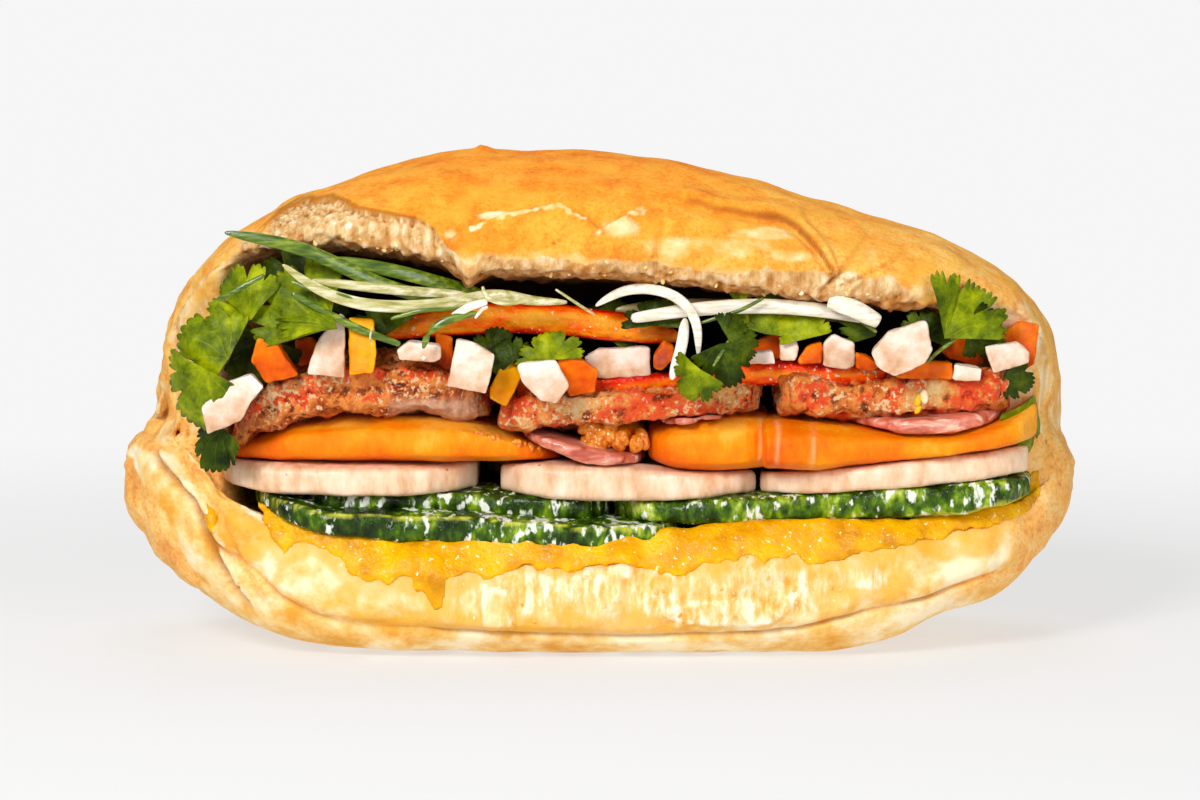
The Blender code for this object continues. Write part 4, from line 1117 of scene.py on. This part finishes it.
onion_green = onion_material("spring_onion_leaf", [(0.3, "#2c4602"), (0.5, "#577204"), (0.7, "#94a22c")])
onion_pale = onion_material("spring_onion_stem", [(0.3, "#8f8a34"), (0.5, "#c4bc7c"), (0.7, "#f0ead0")])
onion_white = onion_material("spring_onion_white", [(0.3, "#cfc6a4"), (0.5, "#ece6d2"), (0.7, "#fffdf4")])
ONIONS = {"green": (onion_green, "onion_leaf"), "pale": (onion_pale, "onion_stem"),
          "white": (onion_white, "onion_stem")}
for node in sorted(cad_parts):
    if node.startswith("onion"):
        piece = strip_from(node, node.replace("onion", "onion_shred"), levels=2)
        kind = "green" if "green" in node else "white" if node in ("onion_ring", "onion_blade") else "pale"
        serve(piece, *ONIONS[kind], node)

# %% [markdown]
# ## Coriander
#
# A coriander leaflet is a fan of three lobes, each with small blunt teeth, thin and slightly
# cupped, bright where light comes through it and paler along its veins. One flat grid is bent
# into the fan, and the teeth are cut into its rim by how far each column of points reaches. The
# leaf is then copied, and every copy is cupped, waved and turned in its own way.

# %% One leaflet
TEETH = 19
COLUMNS, ROWS = 6 * TEETH + 1, 9
only(roll)
bpy.ops.mesh.primitive_grid_add(x_subdivisions=COLUMNS - 1, y_subdivisions=ROWS - 1, size=2)
blank = bpy.context.active_object
blank.name = "blank_leaflet"
flat = places(blank) * MM
ACROSS, OUTWARD = flat[:, 0], (flat[:, 1] + 1) / 2     # -1 to 1 over the fan, 0 at its base to 1
TOOTH = 1 - np.abs(((ACROSS + 1) / 2 * TEETH) % 1 * 2 - 1)   # 0 in a notch, 1 on a tooth's tip
print("one leaflet:", len(flat), "points,", TEETH, "teeth")


def leaflet(name, base, reach, roll_deg, tip_back, turn, cup, half_spread, narrow, seed):
    """A copy of the leaflet: its base and reach in mm, its roll, tip back, turn and spread in degrees."""
    leaf = blank.copy()
    leaf.data = blank.data.copy()
    leaf.name = name
    scene.collection.objects.link(leaf)
    spread = np.abs(ACROSS + 0.05 * math.sin(seed))
    fan = 1 - 0.16 * spread ** 2 + 0.06 * np.sin(4 * ACROSS + seed)
    fan -= 0.27 * near(spread - 0.36, 0.05) + 0.17 * near(spread - 0.70, 0.045)
    fan += 0.085 * (TOOTH ** 0.45 - 0.6) * (1 + 0.35 * np.sin(11 * ACROSS + 2 * seed)) * OUTWARD ** 5
    distance = OUTWARD * fan
    angle = ACROSS * math.radians(half_spread)
    lx, ly = distance * np.sin(angle) * narrow, distance * np.cos(angle)
    wave = 0.09 * np.sin(3.1 * angle + seed) * OUTWARD ** 2 + 0.07 * np.sin(7 * lx + 2 * seed) * OUTWARD
    lz = -cup * distance ** 2 + wave + 0.2 * np.abs(lx) * math.cos(seed)
    lz += 0.025 * np.cos(angle * 7.2) * OUTWARD * (1 - 0.5 * OUTWARD)
    turned = (Matrix.Rotation(math.radians(turn), 3, "Z") @ Matrix.Rotation(math.radians(-tip_back), 3, "X")
              @ Matrix.Rotation(math.radians(roll_deg), 3, "Y") @ Matrix.Rotation(math.pi / 2, 3, "X"))
    shaped = np.stack([lx, ly, lz], axis=1) * reach
    move_to(leaf, shaped @ np.array(turned).T + np.array(base))
    note(leaf, "around", angle + 0.06 * np.sin(9 * OUTWARD + seed) + 0.03 * np.sin(5 * angle))
    note(leaf, "outward", OUTWARD)
    apply(leaf, "SOLIDIFY", thickness=0.28 * MM, offset=0)
    return leaf


def herb_material(name, stops, vein_colour):
    """A fresh leaf: green, darker between its veins, a little shiny."""
    made, tree, shader, here = new_material(name)
    around = add(tree, "Attribute", attribute_name="around", out="Fac")
    outward = add(tree, "Attribute", attribute_name="outward", out="Fac")
    mottle = add(tree, "TexNoise", Vector=here, Scale=per(6), Detail=7, Roughness=0.65)
    green = add(tree, "ValToRGB", Fac=mottle, stops=stops)
    ray = add(tree, "Math", around, 3.9, operation="MULTIPLY")
    fold = add(tree, "Math", ray, 1.0, operation="PINGPONG")
    vein = add(tree, "MapRange", Value=fold, From_Max=0.16, To_Min=1.0, To_Max=0.0)
    faint = add(tree, "MapRange", Value=outward, From_Min=0.95, From_Max=0.2, To_Max=0.4)
    strength = add(tree, "Math", vein, faint, operation="MULTIPLY")
    colour = add(tree, "Mix", strength, green, vein_colour, **COLOURS)
    crinkle = add(tree, "TexNoise", Vector=here, Scale=per(2.2), Detail=5)
    bump = add(tree, "Bump", Height=crinkle, Strength=0.7, Distance=0.8 * MM)
    plug(shader, Base_Color=colour, Roughness=0.42, Normal=bump, Specular_IOR_Level=0.14)
    return made


herb = herb_material("fresh_coriander_leaf", [(0.34, "#3c4e00"), (0.5, "#728200"), (0.66, "#a8b000")],
                     "#aeb420")
# painted shade: a darker copy of the leaf's colours, for leaves in shade
dark_herb = herb_material("shaded_coriander_leaf", [(0.34, "#162200"), (0.5, "#304200"), (0.66, "#566600")],
                          "#6e7a14")
# the last column gives a leaf the darker copy, painted shade
LEAVES = (            # base point, reach, roll, tip back, turn, cup, half spread, narrow, dark
    ((-70.0, -38.0, 70.5), 11.0, -34, 8, -14, 0.25, 72, 1.0, 0),
    ((-74.5, -40.0, 62.8), 11.5, -60, 5, -12, 0.3, 85, 1.0, 0),
    ((-78.5, -40.8, 60.5), 12.5, -152, -6, -14, 0.3, 85, 0.9, 0),
    ((-55.0, -39.0, 68.6), 15.5, -44, 6, 8, 0.3, 62, 1.0, 0),
    ((-52.6, -41.5, 69.0), 12.0, -50, 34, 24, 0.5, 50, 0.8, 0),
    ((-76.5, -35.0, 48.5), 9.5, 196, 0, -35, 0.1, 80, 0.8, 1),
    ((-68.0, -30.0, 66.0), 10.0, -150, 0, 10, 0.2, 100, 1.0, 1),
    ((-60.0, -31.0, 74.0), 11.0, 10, 10, 10, 0.2, 100, 1.0, 1),
    ((-43.0, -30.0, 67.0), 8.0, -25, 20, 0, 0.2, 80, 0.9, 1),
    ((69.4, -36.5, 66.6), 14.0, 40, 4, 10, 0.3, 52, 1.0, 0),
    ((74.0, -33.5, 68.0), 9.0, 100, -10, 20, 0.2, 80, 0.8, 1),
    ((82.0, -31.0, 58.6), 6.5, 112, 0, 15, 0.2, 80, 0.9, 1),
    ((88.5, -24.0, 53.5), 12.5, 170, 0, 55, 0.2, 80, 0.7, 0),
    ((33.4, -31.0, 67.0), 9.5, 12, 6, 4, 0.3, 85, 1.0, 0),
    ((30.0, -31.6, 70.0), 9.5, -20, 0, 0, 0.1, 40, 0.35, 0),
    ((11.5, -30.5, 68.6), 5.4, 0, 14, 0, 0.2, 100, 1.5, 1),
    ((24.0, -42.0, 66.0), 9.0, 165, -4, 6, 0.3, 80, 0.85, 1),
    ((20.0, -42.6, 61.0), 7.0, 215, -2, -14, 0.3, 90, 0.9, 0),
    ((27.0, -41.0, 66.0), 5.5, 130, -4, 10, 0.3, 80, 0.9, 1),
    ((25.0, -41.0, 68.0), 5.0, 60, 10, 10, 0.3, 90, 0.9, 1),
    ((42.0, -30.5, 66.0), 6.5, -14, 12, 0, 0.2, 90, 1.0, 0),
    ((56.0, -29.5, 66.5), 8.0, -52, 8, 8, 0.2, 60, 0.8, 1),
    ((66.0, -30.0, 66.0), 6.0, 20, 8, 8, 0.2, 90, 1.0, 1),
    ((-17.5, -33.0, 61.5), 5.0, -40, 0, 0, 0.2, 90, 1.0, 1),
    ((-10.0, -33.5, 62.0), 5.5, -10, 0, 0, 0.2, 100, 1.4, 0),
    ((-22.0, -28.0, 62.0), 6.0, 20, 10, 0, 0.2, 100, 1.0, 1),
    ((1.0, -22.0, 66.0), 8.0, 30, 20, 0, 0.2, 100, 1.0, 1),
    ((44.0, -22.0, 68.0), 8.0, -30, 20, 0, 0.2, 100, 1.0, 1),
)
for index, (*shape, dark) in enumerate(LEAVES):
    leaf = leaflet(f"coriander_leaf_{index + 1}", *shape, seed=1.3 * index)
    serve(leaf, dark_herb if dark else herb, "onion_leaf")
bpy.data.objects.remove(blank)

# %% [markdown]
# ## Stems, seeds, crumbs and shreds
#
# The last things are small: the coriander's thin stems, stray shreds of spring onion, four pepper
# seeds and the tomato's, and crumbs torn from the bread. A stem or shred is a row of short rings
# drawn along a curve. Seeds and crumbs are each one small solid, made once, copied, turned and
# joined, because a crumb has no part of its own to name.

# %% Stems and shreds
def thread(name, path, width, flat=1.0, sides=8, rings=22):
    """A thin round or flat strand along a smooth path of points, in mm, drawn out to its ends."""
    control = np.array(path, float)
    along = np.linspace(0, len(control) - 1, rings)
    curve = np.stack([np.interp(along, range(len(control)), column) for column in control.T], axis=1)
    for _ in range(6):
        curve[1:-1] = (curve[:-2] + 2 * curve[1:-1] + curve[2:]) / 4
    only(roll)
    bpy.ops.mesh.primitive_cylinder_add(vertices=sides, radius=1, depth=1, end_fill_type="NGON")
    strand = bpy.context.active_object
    strand.name = name
    bpy.ops.object.mode_set(mode="EDIT")
    bpy.ops.mesh.select_all(action="DESELECT")
    bpy.ops.mesh.select_mode(type="EDGE")
    bpy.ops.object.mode_set(mode="OBJECT")
    for edge in strand.data.edges:
        first, last = (strand.data.vertices[v].co.z for v in edge.vertices)
        edge.select = abs(first - last) > 0.5
    bpy.ops.object.mode_set(mode="EDIT")
    bpy.ops.mesh.subdivide(number_cuts=rings - 2)
    bpy.ops.mesh.select_mode(type="VERT")
    bpy.ops.object.mode_set(mode="OBJECT")
    points = places(strand) * MM
    ring = np.clip(np.rint((points[:, 2] + 0.5) * (rings - 1)).astype(int), 0, rings - 1)
    ahead = np.gradient(curve, axis=0)
    ahead /= np.linalg.norm(ahead, axis=1)[:, None]
    side = np.cross(ahead, (0, -1.0, 0.15))
    side /= np.linalg.norm(side, axis=1)[:, None]
    outward = np.cross(ahead, side)
    taper = width / 2 * (0.45 + 0.55 * np.sin(math.pi * np.linspace(0.06, 0.94, rings)) ** 0.5)
    shaped = (curve[ring] + side[ring] * (points[:, 0] * taper[ring])[:, None]
              + outward[ring] * (points[:, 1] * taper[ring] * flat)[:, None])
    move_to(strand, shaped)
    edit(strand, bpy.ops.mesh.normals_make_consistent, inside=False)
    return apply(strand, "SUBSURF", levels=1, render_levels=1)


STRANDS = (           # its path, its width, how flat, and whether it's green, pale or white
    (((-76.5, -41.5, 74.8), (-72, -42.3, 77.2), (-67, -42, 79.8)), 1.2, 0.6, "green"),
    (((-62, -39, 76), (-54, -39.5, 71.5), (-47, -38.5, 68), (-40, -38, 65.5)), 1.8, 0.4, "green"),
    (((-45.5, -43, 69.5), (-46, -43.2, 67.5), (-45.6, -43.2, 66)), 0.5, 0.5, "pale"),
    (((-23.5, -43, 77.6), (-22.6, -43.6, 75.2), (-19, -43.6, 74.0), (-13, -42.6, 75.0)), 1.0, 0.4, "pale"),
    (((-29.5, -42.8, 71.6), (-26, -43.4, 73.6), (-22.5, -43, 74.6)), 1.9, 0.4, "white"),
    (((-25, -43, 71.2), (-23.6, -43.4, 73.0), (-22.4, -43.6, 73.6)), 0.8, 0.5, "white"),
    (((-42, -42, 71.0), (-36, -42.6, 72.8), (-27, -42.4, 73.2)), 1.0, 0.5, "green"),
    (((-62, -40.4, 78.5), (-57, -41.5, 76.4), (-52, -42, 76), (-47, -41.8, 74.0)), 0.8, 0.5, "green"),
    (((6, -32, 70.2), (20, -32.5, 72.4), (34, -32.5, 73.0), (46, -31, 71.8), (57, -29, 69.5)),
     3.4, 0.4, "white"),
    (((20, -35, 69.5), (28, -35.5, 72.0), (33, -35, 74.6)), 0.9, 0.6, "green"),
    (((47, -33.5, 73.0), (52, -34, 70.5), (56, -33, 67.5)), 1.0, 0.5, "green"),
    (((46, -34.0, 74.0), (51, -35, 72.6), (56.5, -34, 69.6)), 4.2, 0.45, "white"),
    (((26, -40.6, 66.8), (24.2, -42, 64), (22.6, -42.8, 61.5)), 0.8, 0.8, "green"),
    (((72, -35, 66.5), (68, -34, 63.5), (66, -32, 61)), 0.9, 0.8, "green"),
    (((-9, -36, 76.5), (-4, -34, 73), (-1, -33, 71)), 0.7, 0.6, "pale"),
)
for index, (path, width, flat, kind) in enumerate(STRANDS):
    serve(thread(f"{kind}_shred_{index + 1}", path, width, flat), *ONIONS[kind])

# %% Seeds and crumbs
def scatter(name, kind, size, squash, spots, seed):
    """One piece: a small solid made once, then copied to each spot, turned, sized and joined."""
    only(roll)
    if kind == "seed":
        bpy.ops.mesh.primitive_uv_sphere_add(segments=12, ring_count=8, radius=1)
    else:
        bpy.ops.mesh.primitive_ico_sphere_add(subdivisions=2, radius=1)
    first = bpy.context.active_object
    shape = places(first) * MM
    if kind == "crumb":
        shape *= (1 + 0.35 * grain(shape * 3, 2, seed))[:, None]
    shape = shape * np.array(squash) * size / 2
    copies = []
    for index, (sx, sy, sz, scale, spin) in enumerate(spots):
        one = first.copy()
        one.data = first.data.copy()
        scene.collection.objects.link(one)
        lean = Euler((0.4 * math.sin(index), math.radians(spin), 0.5 * math.cos(index)))
        move_to(one, shape * scale @ np.array(lean.to_matrix()).T + (sx, sy, sz))
        copies.append(one)
    only(first)
    for one in copies:
        one.select_set(True)
    bpy.context.view_layer.objects.active = copies[0]
    first.select_set(False)
    bpy.ops.object.join()
    bpy.data.objects.remove(first)
    copies[0].name = name
    bpy.ops.object.shade_smooth()
    return copies[0]


def plain_material(name, colour, roughness, specular=0.3):
    """Two close shades, for things too small to show more."""
    made, tree, shader, here = new_material(name)
    small = add(tree, "TexNoise", Vector=here, Scale=per(0.8), Detail=4)
    shades = add(tree, "ValToRGB", Fac=small, stops=[(0.3, colour[0]), (0.65, colour[1])])
    plug(shader, Base_Color=shades, Roughness=roughness, Specular_IOR_Level=specular)
    return made


def skin_at(piece, x, z, sink=0.0):
    """The point of the piece's front nearest to x and z, sunk in by sink mm."""
    points, normals = places(piece), facing(piece)
    out = points[normals[:, 1] < -0.45]
    return out[np.argmin((out[:, 0] - x) ** 2 + (out[:, 2] - z) ** 2)] + (0, sink, 0)


seed_skin = plain_material("moist_pepper_seed", ("#f2d08a", "#fff2d4"), 0.3)
yellow_seed = plain_material("yellow_pepper_seed", ("#e8a400", "#ffc61a"), 0.3)
pulp = plain_material("tomato_seed_in_jelly", ("#b85404", "#f0962c"), 0.12, 0.5)
pork_right = bpy.data.objects["roast_pork_slice_right"]
PEPPER_SEEDS = {               # where two of each lie on the pork: X, Z, size and lean
    "pale_pepper_seed": ((66.0, 54.4, 1.5, -10), (64.8, 56.4, 1.0, 20)),
    "yellow_pepper_seed": ((64.6, 53.4, 1.4, 15), (64.2, 51.6, 1.0, 30)),
}
for name, lying in PEPPER_SEEDS.items():
    spots = [(*skin_at(pork_right, x, z, -0.3), size, lean) for x, z, size, lean in lying]
    serve(scatter(name, "seed", 2.0, (0.62, 0.5, 1.0), spots, 1),
          *((seed_skin, "onion_stem") if name.startswith("pale") else (yellow_seed, "carrot")))

CORE_SEEDS, WALL_SEEDS, CRUMBS = 26, 12, 70
chance = random.Random(11)
low, high = (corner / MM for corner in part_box("tomato_core"))
jelly = [(chance.uniform(low.x + 1, high.x - 0.5), low.y + chance.uniform(-0.5, 0.8),
          chance.uniform(low.z + 1.5, high.z), chance.uniform(1.2, 1.8), chance.uniform(-60, 60))
         for _ in range(CORE_SEEDS)]
tomato_left = bpy.data.objects["tomato_slice_left"]
for i in range(WALL_SEEDS):
    place = skin_at(tomato_left, -24.5 + 1.15 * i + chance.uniform(-0.4, 0.4), 49.6 - 0.2 * i, 0.2)
    jelly.append((*place, chance.uniform(0.6, 1.0), chance.uniform(-60, 60)))
serve(scatter("tomato_seeds", "seed", 2.4, (0.7, 0.5, 1.0), jelly, 3), pulp, "tomato")

spots = []
for _ in range(CRUMBS):
    x = chance.uniform(-66, 60)
    if chance.random() < 0.6:
        z = upper_lip(x) + chance.uniform(-0.6, 2.5)
    else:
        z = lower_lip(x) - chance.uniform(4, 14)
    spots.append((*skin_at(roll, x, z, 0.05), chance.uniform(0.5, 1.4), chance.uniform(0, 180)))
crumbs = scatter("bread_crumbs", "crumb", 0.75, (0.9, 0.5, 1.5), spots, 4)
note(crumbs, "pale", np.ones(len(crumbs.data.vertices)))
serve(crumbs, bread, "bread")
